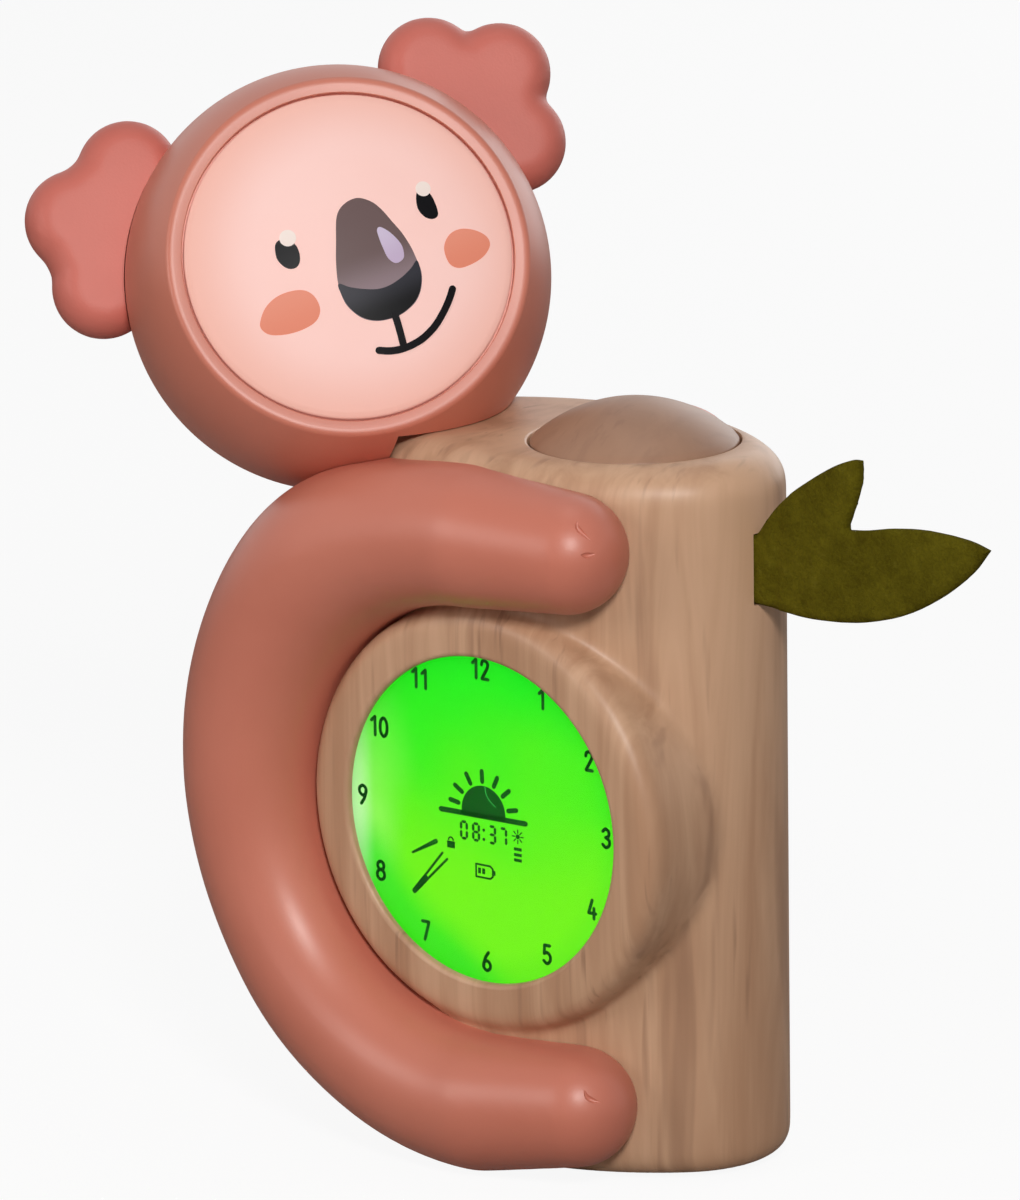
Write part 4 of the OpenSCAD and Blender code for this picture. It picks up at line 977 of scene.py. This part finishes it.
faceInk = {  # printed shapes on the face, millimetres across and up from the panel's middle
    "eyeLeft": [(-11.58, 5.54), (-10.9, 6.5), (-9.6, 6.6), (-8.3, 5.4), (-7.95, 3.87), (-8.38, 2.13),
                (-9.32, 1.21), (-10.56, 1.34), (-11.46, 2.28), (-11.94, 3.8)],
    "eyeRight": [(14.45, 4.79), (15.3, 5.9), (16.4, 5.5), (17.1, 4.35), (17.2, 2.26), (16.85, 0.67),
                 (15.76, 0.33), (14.59, 1.15), (14.01, 2.88)],
    "glintLeft": ((-8.85, 6.45), 1.45),
    "glintRight": ((16.25, 5.85), 1.32),
    "nose": [(5.41, 8.3), (7.06, 6.89), (8.12, 4.96), (8.95, 2.45), (9.76, -0.02), (10.26, -2.83),
             (10.35, -5.3), (10.32, -7.15), (9.75, -8.97), (8.62, -10.77), (6.92, -12.15), (4.32, -13.0),
             (2.05, -13.03), (-0.33, -12.47), (-2.37, -11.1), (-3.7, -8.91), (-4.15, -6.87),
             (-3.89, -4.0), (-2.8, -0.51), (-1.31, 3.03), (-0.08, 5.93), (0.93, 7.42), (2.21, 8.24),
             (3.83, 8.6)],
    "noseDark": [(-3.95, -4.2), (-2.24, -5.45), (-0.14, -6.61), (2.11, -7.5), (4.31, -7.62),
                 (6.78, -7.09), (8.84, -6.21), (10.3, -5.35), (10.24, -7.15), (9.67, -8.93),
                 (8.54, -10.72), (6.88, -12.05), (4.32, -12.92), (2.05, -12.95), (-0.33, -12.38),
                 (-2.32, -11.0), (-3.62, -8.88), (-4.07, -6.87)],
    "noseGlint": [(5.93, 2.04), (6.62, 2.33), (7.64, 1.18), (8.45, -0.45), (8.87, -2.11), (8.52, -3.85),
                  (7.69, -4.46), (6.59, -4.41), (5.8, -3.17), (5.67, -1.24), (5.71, 0.62)],
    "stem": [(3.15, -12.6), (2.9, -15.2), (2.5, -18.3)],
    "smile": [(-1.77, -17.32), (-0.19, -18.03), (1.68, -18.49), (3.91, -18.53), (6.3, -18.1),
              (8.87, -16.95), (11.03, -15.37), (12.87, -13.67), (14.18, -12.13)],
    "cheekLeft": [(-18.85, -5.29), (-16.86, -3.14), (-13.87, -2.15), (-10.38, -2.66), (-8.66, -4.3),
                  (-8.4, -6.82), (-9.67, -8.54), (-12.09, -9.13), (-15.1, -8.91), (-17.75, -8.0),
                  (-18.9, -6.75)],
    "cheekRight": [(15.56, -5.03), (17.27, -3.24), (19.48, -2.94), (21.72, -3.95), (23.28, -5.64),
                   (23.32, -7.34), (21.58, -8.75), (19.06, -9.31), (16.65, -9.16), (15.36, -7.75)],
    "lineWidth": 1.25,
    "lift": 0.04 * mm,
    "depth": 0.1 * mm,
    "colours": {  # low and high colour, the heights they fade between, roughness
        "black": ((12, 10, 14), (8, 8, 12), -14, 8, 0.3),
        "cheek": ((240, 146, 120), (244, 156, 132), -9, -2, 0.4),
        "noseUpper": ((150, 131, 138), (112, 92, 92), -8.5, -0.5, 0.32),
        "noseLower": ((12, 12, 15), (52, 52, 60), -11.5, -6.5, 0.3),
        "glint": ((255, 236, 228), (255, 240, 233), 0, 8, 0.3),
        "lilac": ((204, 184, 214), (214, 200, 226), -4, 2, 0.3),
    },
}


def inkLook(name, low, high, lowAt, highAt, rough):  # print that fades along the face's height
    material, tree, shader, place = newMaterial("ink" + name[0].upper() + name[1:])
    up = facePlace.inverted()[1]
    along = addNode(tree, "ShaderNodeVectorMath", {0: place, 1: tuple(up[k] * 1000 for k in range(3))},
                    operation="DOT_PRODUCT")
    height = plus(tree, along.outputs["Value"], up[3] * 1000)
    fade = smoothRange(tree, height, lowAt, highAt)
    grainSkin(tree, shader, place, rough, 0.02)
    feed(tree, shader, {"Base Color": mixColour(tree, fade, linear(*low), linear(*high)),
                        "Specular IOR Level": 0.05})
    return material


def makeFacePrint():
    inks = {name: inkLook(name, *values) for name, values in faceInk["colours"].items()}
    def patch(name, outline, level, ink, grid=1.6):
        mesh = printedPatch([(x * mm, y * mm) for x, y in outline], lambda x, y: domeHeight(math.hypot(x, y)),
                            faceInk["lift"] * level, faceInk["depth"], facePlace, grid * mm)
        pieceFromMesh(name, mesh, inks[ink], sharp=50)
    def line(name, steps):
        return strokeOutline(smoothOpen(faceInk[name], steps), faceInk["lineWidth"])
    for name in ("eyeLeft", "eyeRight"):
        patch(name, smoothClosed(faceInk[name]), 1, "black")
    for name in ("glintLeft", "glintRight"):
        (x, y), r = faceInk[name]
        turns = np.linspace(0, 2 * math.pi, 33)[:-1]
        patch(name, [(x + r * math.cos(a), y + r * math.sin(a)) for a in turns], 2, "glint", 1.0)
    patch("nose", smoothClosed(faceInk["nose"], 6), 1, "noseUpper")
    patch("noseDark", smoothClosed(faceInk["noseDark"], 5), 2, "noseLower")
    patch("noseGlint", smoothClosed(faceInk["noseGlint"], 6), 2, "lilac", 1.0)
    patch("mouthStem", line("stem", 6), 3, "black", 0)
    patch("mouthSmile", line("smile", 8), 4, "black", 0)
    for name in ("cheekLeft", "cheekRight"):
        patch(name, smoothClosed(faceInk[name]), 1, "cheek")


makeFacePrint()

earLook = {
    "left": [(-25.6, 32.1), (-37.4, 27.4), (-37.5, 14.7)],
    "leftMiddle": (-29.6, 22.0),
    "right": [(30.5, 29.7), (41.8, 24.2), (39.5, 11.9)],
    "rightMiddle": (31.8, 19.0),
    "lobe": 9.0,
    "middle": 15.5,
    "back": 8.0,
    "halfThick": 5.9,
    "edgeShare": 0.75,
    "headGap": 0.15 * mm,
    "voxel": 0.7 * mm,
    "smoothing": 13,
}


def pillow(x, y, radius, rings=20):  # a thick disc with a full round edge
    half, z = earLook["halfThick"], -earLook["back"]
    bulge = half * earLook["edgeShare"]
    profile = [(0, z - half)] + [((radius - bulge) + bulge * math.cos(a), z + half * math.sin(a))
                                 for a in np.radians(np.linspace(-86, 86, rings))] + [(0, z + half)]
    return revolve("pillow", [(r * mm, h * mm) for r, h in profile], 64,
                   facePlace @ Matrix.Translation((x * mm, y * mm, 0)))


def makeEar(side, node):
    forms = [pillow(*earLook[side + "Middle"], earLook["middle"])]
    forms += [pillow(*place, earLook["lobe"]) for place in earLook[side]]
    skin = remeshed(joined("earForms", forms), earLook["voxel"], earLook["smoothing"])
    mesh = cutWith(skin, [ball(*head["place"], head["radius"] + earLook["headGap"], rings=60)], 1e-6)
    pieceFromMesh("ear" + side.capitalize(), mesh, looks["ears"], [node], sharp=40)


makeEar("left", "ear_left")
makeEar("right", "ear_right")
print("head made")

button = {
    "radius": 18 * mm,
    "dome": 7 * mm,
    "skirt": 6 * mm,
    "wall": 1.8 * mm,
    "edge": 0.6 * mm,
    "rim": [(0.42, 0.02), (0.1, -0.3), (0, -0.8)],  # shares of the edge, in from the side and up
    "stem": 2 * mm,
    "stemEnd": 117.6 * mm,
    "hookTurns": [60, 180, 300],
    "hookHalf": 3 * mm,
    "hookRoot": 0.6 * mm,
    "hookReach": 1.3 * mm,
    "hookHeight": 1.4 * mm,
    "hookGap": 0.2 * mm,
}


def makeButton():
    r, top, rise, edge = button["radius"], trunk["height"], button["dome"], button["edge"]
    inner, stem, skirt = r - button["wall"], button["stem"], top - button["skirt"]
    sphere = (r ** 2 + rise ** 2) / (2 * rise)
    def dome(radius, drop=0.0):
        return top + rise - sphere + math.sqrt((sphere - drop) ** 2 - radius ** 2)
    profile = [(0, top + rise - 0.02 * mm)]
    profile += [(radius, dome(radius)) for radius in np.linspace(0.8 * mm, r - edge, 34)]
    profile += [(r - edge * back, dome(r) + edge * up) for back, up in button["rim"]]
    profile += [(r, skirt), (inner, skirt), (inner, dome(inner, button["wall"]))]
    profile += [(radius, dome(radius, button["wall"])) for radius in np.linspace(inner - 1 * mm, stem, 10)]
    profile += [(stem, button["stemEnd"]), (0, button["stemEnd"])]
    place = Matrix.Translation((trunkLook["buttonX"], 0, 0))
    forms = [revolve("cap", profile, 144, place)]
    low = top - trunk["topWall"] - button["hookGap"] - button["hookHeight"]
    half, high = button["hookHalf"], low + button["hookHeight"]
    for turn in button["hookTurns"]:
        forms.append(boxMesh((r - button["hookRoot"], -half, low), (r + button["hookReach"], half, high),
                             place @ rotation(turn, "Z")))
    pieceFromMesh("topButton", joined("topButton", forms), looks["cap"], ["top_button"],
                  "top_button", sharp=38)


makeButton()

keys = {
    "names": ["set_key", "up_key", "down_key", "alarm_key"],
    "radius": 3.3 * mm,
    "proud": 1.3 * mm,
    "crown": 12 * mm,
    "crownEdge": 0.3 * mm,
    "rim": [(0.08 * mm, 0.58 * mm), (0, 0.8 * mm)],
    "gap": 0.3 * mm,
    "flange": 4.1 * mm,
    "flangeThick": 0.9 * mm,
    "stem": 1.5 * mm,
    "stemFoot": 19.2 * mm,
}


def makeKeys():
    r, crown, edge, wide, stem = (keys[k] for k in ("radius", "crown", "crownEdge", "flange", "stem"))
    for i, node in enumerate(keys["names"]):
        x = (i - 1.5) * trunkLook["keyPitch"]
        out = sideY(abs(x)) + keys["proud"]
        flange = sideY(abs(x) + wide, trunk["wall"]) - keys["gap"]
        under = flange - keys["flangeThick"]
        profile = [(0, out)]
        profile += [(radius, out - crown + math.sqrt(crown ** 2 - radius ** 2))
                    for radius in np.linspace(edge, r - edge, 10)]
        profile += [(r - back, out - down) for back, down in keys["rim"]]
        profile += [(r, flange), (wide, flange), (wide, under), (stem, under), (stem, keys["stemFoot"]),
                    (0, keys["stemFoot"])]
        mesh = revolve(node, profile, 64, rearPlace(x, trunkLook["keyHeight"]))
        pieceFromMesh(node.replace("_", "") + "Cap", mesh, looks["cap"], [node], node, sharp=38)


makeKeys()
print("button and keys made")

dialInk = {  # millimetres across and up from the dial's middle
    "numerals": [(-0.86, 26.35), (12.49, 23.07), (22.44, 13.69), (25.9, 0.68), (22.71, -12.39),
                 (12.85, -22.04), (-0.28, -25.5), (-13.63, -22.17), (-23.4, -12.99), (-27.11, 0.08),
                 (-23.28, 12.84), (-14.03, 22.78)],
    "numeralHeight": 3.85,
    "numeralStretch": 0.98,
    "numeralPitch": 0.55,
    "numeralStroke": 0.6,
    "depth": 0.06,
    "sun": ((-0.55, 1.0), 4.75, -12, 192),
    "sunLine": [(-0.14, 5.6), (0.15, 4.3), (1.0, 3.2), (2.1, 2.4)],
    "sunLineWidth": 0.16,
    "bar": ((-9.9, 0.25), (8.6, 0.45), 0.95),
    "ray": (5.5, 7.35, 0.85),
    "rayTurns": [12, 40, 65, 92, 120, 147, 170],
    "digitHeight": 3.4,
    "digitWidth": 1.72,
    "digitStroke": 0.48,
    "digitPlaces": [(-5.74, -4.45), (-3.1, -4.4), (0.42, -4.35), (2.82, -4.33)],
    "digits": ["abcdef", "abcdefg", "abcdg", "abc"],
    "colon": [(-0.55, -2.1), (-0.55, -3.75)],
    "colonRadius": 0.28,
    "lockBar": ((-8.55, -5.35), (-7.0, -5.35), 0.25),
    "lockBody": (-8.6, -6.4, -6.95, -5.2),
    "lockBow": ((-7.8, -5.0), 0.5, 0.26),
    "lamp": ((6.85, -2.1), 0.36, 0.14),
    "lampRay": (0.62, 1.2, 0.2),
    "lampRays": 8,
    "marks": [-4.35, -5.35, -6.3],
    "mark": (6.0, 7.65, 0.27),
    "battery": [(-2.35, -8.35), (0.75, -8.35), (1.3, -8.8), (1.3, -10.15), (0.75, -10.6), (-2.35, -10.6)],
    "batteryStroke": 0.34,
    "batteryPole": [(1.4, -8.95), (1.85, -9.1), (1.85, -9.85), (1.4, -10.0)],
    "batteryBars": [(-1.9, -9.95, -1.3, -8.95), (-1.0, -9.95, -0.4, -8.95)],
    "minute": [(-16.0, -15.4), (-9.7, -7.6), (-8.65, -8.55)],
    "minuteStroke": 0.42,
    "minuteStart": 0.1,
    "minuteSides": [(-0.1, 0.15), (0.15, -0.1)],
    "minuteTip": (0.36, [0.95, 1.25]),
    "hour": [(-16.25, -8.55), (-11.1, -5.75)],
    "hourWidths": [0.42, 0.85],
}


def flatPiece(name, outlines, material, front):  # closed thin shapes on the dial's plane
    place = dialPlace @ Matrix.Translation((0, 0, front))
    meshes = [printedPatch([(x * mm, y * mm) for x, y in outline], lambda x, y: 0.0, dialInk["depth"] * mm,
                           0.0, place, 0) for outline in outlines]
    pieceFromMesh(name, joined(name, meshes), material, smooth=False)


def circleOutline(x, y, r, start=0, stop=360, steps=36):
    points = arcPoints(x, y, r, start, stop, steps)
    return points[:-1] if stop - start == 360 else points


def boxOutline(left, low, right, high):
    return [(left, low), (right, low), (right, high), (left, high)]


def segmentOutline(letter, x, y, w, h, s):  # one bar of a seven-segment digit, with pointed ends
    half, gap = s / 2, s * 0.16
    left, right = x + half, x + w - half
    low, mid, high = y + half, y + h / 2, y + h - half
    ends = {"a": (left, high, right, high), "b": (right, mid, right, high), "c": (right, low, right, mid),
            "d": (left, low, right, low), "e": (left, low, left, mid), "f": (left, mid, left, high),
            "g": (left, mid, right, mid)}
    x0, y0, x1, y1 = ends[letter]
    if letter in "adg":
        x0, x1 = x0 + gap, x1 - gap
        return [(x0, y0), (x0 + half, y0 - half), (x1 - half, y1 - half), (x1, y1), (x1 - half, y1 + half),
                (x0 + half, y0 + half)]
    y0, y1 = y0 + gap, y1 - gap
    return [(x0, y0), (x0 + half, y0 + half), (x1 + half, y1 - half), (x1, y1), (x1 - half, y1 - half),
            (x0 - half, y0 + half)]


def barOutline(a, b, width):
    return strokeOutline([a, b], width, 3)


def rayOutlines(x, y, turns, inner, outer, width):
    return [barOutline(polar(inner, turn, x, y), polar(outer, turn, x, y), width) for turn in turns]


def bend(*points):
    return smoothOpen(points, 4)


def loop(*points):
    path = smoothClosed(points, 4)
    return path + path[:1]


glyphs = {  # middle lines of the numerals' strokes in a cell 0.52 wide and 1 high
    "0": [loop((0.26, 0.925), (0.08, 0.72), (0.08, 0.28), (0.26, 0.075), (0.44, 0.28), (0.44, 0.72))],
    "1": [[(0.10, 0.74), (0.31, 0.925), (0.31, 0.075)]],
    "2": [bend((0.08, 0.72), (0.12, 0.87), (0.26, 0.925), (0.42, 0.84), (0.42, 0.66), (0.28, 0.40),
               (0.09, 0.09)), [(0.09, 0.085), (0.455, 0.085)]],
    "3": [bend((0.08, 0.80), (0.25, 0.925), (0.43, 0.80), (0.40, 0.61), (0.24, 0.53)),
          bend((0.24, 0.53), (0.44, 0.42), (0.44, 0.20), (0.25, 0.075), (0.07, 0.20))],
    "4": [[(0.28, 0.925), (0.07, 0.32), (0.48, 0.32)], [(0.37, 0.56), (0.37, 0.075)]],
    "5": [[(0.43, 0.915), (0.13, 0.915), (0.10, 0.52)],
          bend((0.10, 0.52), (0.27, 0.59), (0.44, 0.45), (0.44, 0.22), (0.26, 0.075), (0.07, 0.19))],
    "6": [bend((0.36, 0.925), (0.20, 0.70), (0.10, 0.45), (0.08, 0.28)),
          loop((0.26, 0.53), (0.08, 0.40), (0.08, 0.20), (0.26, 0.075), (0.44, 0.20), (0.44, 0.40))],
    "7": [[(0.06, 0.915), (0.45, 0.915), (0.20, 0.075)]],
    "8": [loop((0.26, 0.925), (0.10, 0.83), (0.10, 0.64), (0.26, 0.545), (0.42, 0.64), (0.42, 0.83)),
          loop((0.26, 0.545), (0.07, 0.42), (0.07, 0.20), (0.26, 0.075), (0.45, 0.20), (0.45, 0.42))],
}
cellWidth = 0.52
glyphs["9"] = [[(cellWidth - x, 1 - y) for x, y in path] for path in glyphs["6"]]


def makeNumerals(material):
    high, wide, shapes = dialInk["numeralHeight"], dialInk["numeralStretch"], []
    pitch = dialInk["numeralPitch"] * high
    for hour, (x, y) in zip([12] + list(range(1, 12)), dialInk["numerals"]):
        text = str(hour)
        for i, digit in enumerate(text):
            left = x + (i - len(text) / 2) * pitch + (pitch - cellWidth * high) / 2
            for path in glyphs[digit]:
                placed = [(x + (left - x + u * high) * wide, y + (v - 0.5) * high) for u, v in path]
                shapes += [barOutline(a, b, dialInk["numeralStroke"]) for a, b in zip(placed, placed[1:])]
    flatPiece("dialNumerals", shapes, material, dial["panelFront"])


litPanel = {  # colours of the lit panel, its brightness and the size of its clouds
    "green": linear(8, 228, 14),
    "yellow": linear(112, 234, 10),
    # pale and edge: painted reflection on the panel's left, pale across the middle height and near white at
    # the edge
    "pale": linear(165, 244, 110),
    "corner": linear(20, 218, 22),
    "edge": linear(226, 253, 205),
    "rim": linear(18, 205, 18),
    "dark": (0.01, 0.05, 0.01, 1),
    "cloud": (42, 42, 42),
    "glow": 0.9,
}


def litPanelLook():  # painted reflection makes it paler at the left and near white at its left edge; yellower below, darker at the rim
    material, tree, shader, place = newMaterial("litPanel")
    split = addNode(tree, "ShaderNodeSeparateXYZ", {0: place}).outputs
    across = times(tree, split["X"], 1 / dial["radius"])
    high = times(tree, mathNode(tree, "SUBTRACT", split["Z"], dial["height"]), 1 / dial["radius"])
    cloud = noiseOf(tree, place, litPanel["cloud"], 1.5)
    drift = times(tree, mathNode(tree, "SUBTRACT", cloud, 0.5), 0.5)
    # painted reflection: a pale band over the left of the panel, strongest at its middle height
    left = smoothRange(tree, plus(tree, across, drift), -1.02, -0.55, 1, 0)
    offMiddle = mathNode(tree, "ABSOLUTE", plus(tree, high, 0.1))
    middle = mathNode(tree, "SUBTRACT", 1.0, offMiddle, clamp=True)
    pale = times(tree, times(tree, left, middle), 0.8)
    warm = smoothRange(tree, plus(tree, times(tree, high, -1.0), cloud), -0.5, 1.2)
    colour = mixColour(tree, warm, litPanel["green"], litPanel["yellow"])
    colour = mixColour(tree, pale, colour, litPanel["pale"])
    corner = plus(tree, weighted(tree, across, 0.6, high, 0.8), times(tree, cloud, 0.3))
    colour = mixColour(tree, smoothRange(tree, corner, -0.72, -0.42, 0.75, 0), colour, litPanel["corner"])
    # painted reflection: near white at the panel's left edge
    edge = times(tree, smoothRange(tree, across, -1.0, -0.84, 0.8, 0), middle)
    colour = mixColour(tree, edge, colour, litPanel["edge"])
    away = plus(tree, times(tree, across, across), times(tree, high, high))
    rim = rangeOf(tree, mathNode(tree, "SQRT", away), 0.82, 1.02, 0, 1)
    colour = mixColour(tree, times(tree, rim, 0.3), colour, litPanel["rim"])
    unlit = mixColour(tree, 0.8, colour, litPanel["dark"])
    feed(tree, shader, {"Emission Color": colour, "Emission Strength": litPanel["glow"], "Base Color": unlit,
                        "Specular IOR Level": 0.08, "Roughness": 0.35})
    return material


def lensLook():
    material, tree, shader, place = newMaterial("clearLens")
    fine = noiseOf(tree, place, (30, 30, 30), 2)
    feed(tree, shader, {"Roughness": rangeOf(tree, fine, 0.3, 0.7, 0.04, 0.07),
                        "Base Color": mixColour(tree, fine, (0.98, 1.0, 0.98, 1), (0.96, 1.0, 0.96, 1)),
                        "Transmission Weight": 1.0, "IOR": 1.2})
    return material


def segmentLook(name, colour, darker):
    material, tree, shader, place = newMaterial(name)
    shade = mixColour(tree, noiseOf(tree, place, (300, 300, 300), 2), colour, darker)
    feed(tree, shader, {"Base Color": shade, "Emission Color": shade, "Emission Strength": 0.7,
                        "Specular IOR Level": 0.08, "Roughness": 0.5})
    return material


def symbolOutlines():  # a lock, a lamp, three marks and a battery
    a, b, width = dialInk["lockBar"]
    shapes = [barOutline(a, b, width), boxOutline(*dialInk["lockBody"])]
    (x, y), r, width = dialInk["lockBow"]
    shapes.append(strokeOutline(circleOutline(x, y, r, 0, 180, 10), width, 3))
    (x, y), r, width = dialInk["lamp"]
    turns = [360 * k / dialInk["lampRays"] for k in range(dialInk["lampRays"])]
    shapes += rayOutlines(x, y, turns, *dialInk["lampRay"])
    shapes.append(strokeOutline(circleOutline(x, y, r, 0, 350, 16), width, 2))
    left, right, half = dialInk["mark"]
    shapes += [boxOutline(left, y - half, right, y + half) for y in dialInk["marks"]]
    battery = dialInk["battery"] + dialInk["battery"][:1]
    shapes += [barOutline(a, b, dialInk["batteryStroke"]) for a, b in zip(battery, battery[1:])]
    shapes.append(dialInk["batteryPole"])
    return shapes + [boxOutline(*bar) for bar in dialInk["batteryBars"]]


def handOutlines():
    tip, *ends = (np.array(point) for point in dialInk["minute"])
    share, widths = dialInk["minuteTip"]
    shapes = [barOutline(tuple(tip + (end - tip) * dialInk["minuteStart"] + side), tuple(end),
                         dialInk["minuteStroke"]) for end, side in zip(ends, dialInk["minuteSides"])]
    middle = tip + ((ends[0] + ends[1]) / 2 - tip) * share
    shapes.append(strokeOutline([tuple(tip), tuple(middle)], widths, 6))
    return shapes + [strokeOutline(dialInk["hour"], dialInk["hourWidths"], 5)]


def makeDial():
    front, lens, r = dial["panelFront"], dial["lensFront"], dial["radius"]
    panel = [(0, front - 2 * mm), (r + 1.5 * mm, front - 2 * mm), (r + 1.5 * mm, front), (0, front)]
    mesh = revolve("lcd", panel, 128, dialPlace)
    pieceFromMesh("litPanel", mesh, litPanelLook(), ["lcd_panel"], smooth=False)
    clear = [(0, front + 0.12 * mm), (r + 1.4 * mm, front + 0.12 * mm), (r + 1.45 * mm, lens - 0.1 * mm),
             (r + 1.3 * mm, lens), (0, lens)]
    mesh = revolve("lens", clear, 128, dialPlace)
    pieceFromMesh("dialLens", mesh, lensLook(), ["dial_lens"], smooth=False)
    ink = segmentLook("segmentInk", linear(6, 76, 14), linear(5, 66, 12))
    makeNumerals(ink)
    (x, y), radius, start, stop = dialInk["sun"]
    sun = [circleOutline(x, y, radius, start, stop, 40), barOutline(*dialInk["bar"])]
    flatPiece("dialSunrise", sun + rayOutlines(x, y, dialInk["rayTurns"], *dialInk["ray"]), ink, front)
    size = [dialInk[k] for k in ("digitWidth", "digitHeight", "digitStroke")]
    segments = [segmentOutline(letter, x, y, *size)
                for letters, (x, y) in zip(dialInk["digits"], dialInk["digitPlaces"]) for letter in letters]
    segments += [circleOutline(x, y, dialInk["colonRadius"], steps=14) for x, y in dialInk["colon"]]
    flatPiece("dialTime", segments, ink, front)
    flatPiece("dialSymbols", symbolOutlines(), ink, front)
    flatPiece("dialHands", handOutlines(), ink, front)
    line = strokeOutline(smoothOpen(dialInk["sunLine"], 6), dialInk["sunLineWidth"], 3)
    pale = segmentLook("segmentPale", linear(40, 150, 60), linear(36, 140, 54))
    flatPiece("dialSunLine", [line], pale, front + 0.03 * mm)


makeDial()
print("dial made")

leaf = {  # millimetres; lengths out from the trunk and up from the slot
    "place": (trunkLook["leafX"], trunkLook["leafY"], 101.2 * mm),
    "thickness": 2.4,
    "tab": 6.5,
    "slot": 12.2,
    "long": [(0, 0.1), (5.7, -0.5), (12, -0.8), (20, -0.2), (26, 1.0), (32.5, 3.2), (39.5, 7.3), (45, 11.9),
             (48.3, 16.1)],
    "longBack": [(44, 17.3), (36, 17.9), (29, 17.3), (23.5, 16.2), (19.6, 15.7)],
    "short": [(19.4, 16.4), (20.3, 18.6), (21.4, 21.6), (22.3, 25), (22.3, 28.1)],
    "shortBack": [(20.2, 27.9), (16.4, 26.3), (11, 23.0), (6.3, 19.6), (3.0, 16.2), (0, 12.1)],
    "grid": 0.9,
    "edgeRound": 1.1,
    "edgeShare": 0.42,
    "fuzz": 0.16,
    "bow": 1.1,
    "crease": 0.35,
}
feltColours = {
    "dark": linear(70, 62, 6),
    "light": linear(100, 92, 18),
    "fleck": linear(110, 103, 32),
}


def feltLook():
    material, tree, shader, place = newMaterial("felt")
    fibre = noiseOf(tree, place, (1500, 600, 1300), 4, 0.7, 1.2, turn=(0, 0.6, 0))
    patch = noiseOf(tree, place, (120, 120, 120), 4, 0.65, 0.5)
    fleck = noiseOf(tree, place, (520, 520, 900), 3, 0.6)
    lumps = noiseOf(tree, place, (260, 260, 260), 3, 0.6, 0.6)
    tone = rangeOf(tree, weighted(tree, fibre, 0.45, patch, 0.55), 0.36, 0.64)
    colour = mixColour(tree, tone, feltColours["dark"], feltColours["light"])
    colour = mixColour(tree, rangeOf(tree, fleck, 0.6, 0.75, 0, 0.35), colour, feltColours["fleck"])
    rough = plus(tree, weighted(tree, fibre, 0.6, fleck, 0.4), times(tree, lumps, 2.2))
    bump = addNode(tree, "ShaderNodeBump", {"Strength": 0.7, "Distance": 0.0004, "Height": rough})
    feed(tree, shader, {"Base Color": colour, "Roughness": 0.95, "Specular IOR Level": 0.06,
                        "Normal": bump.outputs[0]})
    return material


def makeLeaf():
    half = leaf["thickness"] / 2
    outer = smoothOpen(leaf["long"], 4) + smoothOpen([leaf["long"][-1]] + leaf["longBack"], 4)[1:]
    outer += smoothOpen(leaf["short"], 4) + smoothOpen([leaf["short"][-1]] + leaf["shortBack"], 4)[1:]
    outline = [(-leaf["tab"], leaf["slot"]), (-leaf["tab"], 0)] + outer
    flat, triangles = filled(outline, leaf["grid"])
    ring = np.array(outline)
    span = np.roll(ring, -1, axis=0) - ring
    length = np.sum(span * span, axis=1) + 1e-12
    def edgeDistance(x, y):
        t = np.clip(((x - ring[:, 0]) * span[:, 0] + (y - ring[:, 1]) * span[:, 1]) / length, 0, 1)
        return float(np.min(np.hypot(ring[:, 0] + t * span[:, 0] - x, ring[:, 1] + t * span[:, 1] - y)))
    def depthAt(x, y, side):  # how far a side stands off the felt's middle plane
        edge = min(edgeDistance(x, y) / leaf["edgeRound"], 1.0)
        full = leaf["edgeShare"] + (1 - leaf["edgeShare"]) * math.sqrt(1 - (1 - edge) ** 2)
        if x <= 0.4:  # the tab is flat, so that it fills its slot
            return side * half * min(full + 0.1, 0.96)
        out = max(x - 3, 0) / 45
        bow = leaf["bow"] * (math.sin(out * 2.6) * 0.9) if x > 3 else 0.0
        crease = leaf["crease"] * math.exp(-((x - 4.2 - (y - 6) * 0.12) / 0.9) ** 2) if x > 0.5 else 0.0
        rough = leaf["fuzz"] * noise.noise(Vector((x * 1.3, y * 1.3, side * 7.0))) if x > 0.8 else 0.0
        return side * (half * full + rough) - bow + (crease if side < 0 else -crease * 0.6)
    place, count = Vector(leaf["place"]), len(flat)
    points = [place + Vector((x, depthAt(x, y, side), y)) * mm for side in (-1, 1) for x, y in flat]
    edges = {pair for f in triangles for pair in zip(f, f[1:] + f[:1])}
    faces = [f[::-1] for f in triangles] + [tuple(count + i for i in f) for f in triangles]
    faces += [(a, b, count + b, count + a) for a, b in edges if (b, a) not in edges]
    pieceFromMesh("feltLeaf", meshFromData("leaf", points, faces), feltLook(), ["leaf"], sharp=70)


makeLeaf()
print("leaf made")

finishes = {
    "base": ["base_plate"],
    "pad": ["base_pad"],
    "white": ["backlight_guide", "battery_cradle", "light_cup", "led_board"],
    "grey": ["display_frame", "speaker_clamp", "button_bracket", "neck_tube", "neck_nut", "leaf_clip"],
    "board": ["main_board", "key_board", "socket_board", "button_board"],
    "cell": ["battery_cell"],
    "black": ["speaker"],
    "steel": ["base_screws", "display_screws", "board_screws", "cradle_screws", "speaker_screws",
              "key_board_screws", "socket_screws", "bracket_screws", "body_screws", "head_screws",
              "light_screws", "clip_screws", "charging_socket"],
}


def paintNodes():
    for look, names in finishes.items():
        for name in names:
            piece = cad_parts[name]
            piece.data.materials.clear()
            piece.data.materials.append(looks[look])


paintNodes()

print("scene ready")
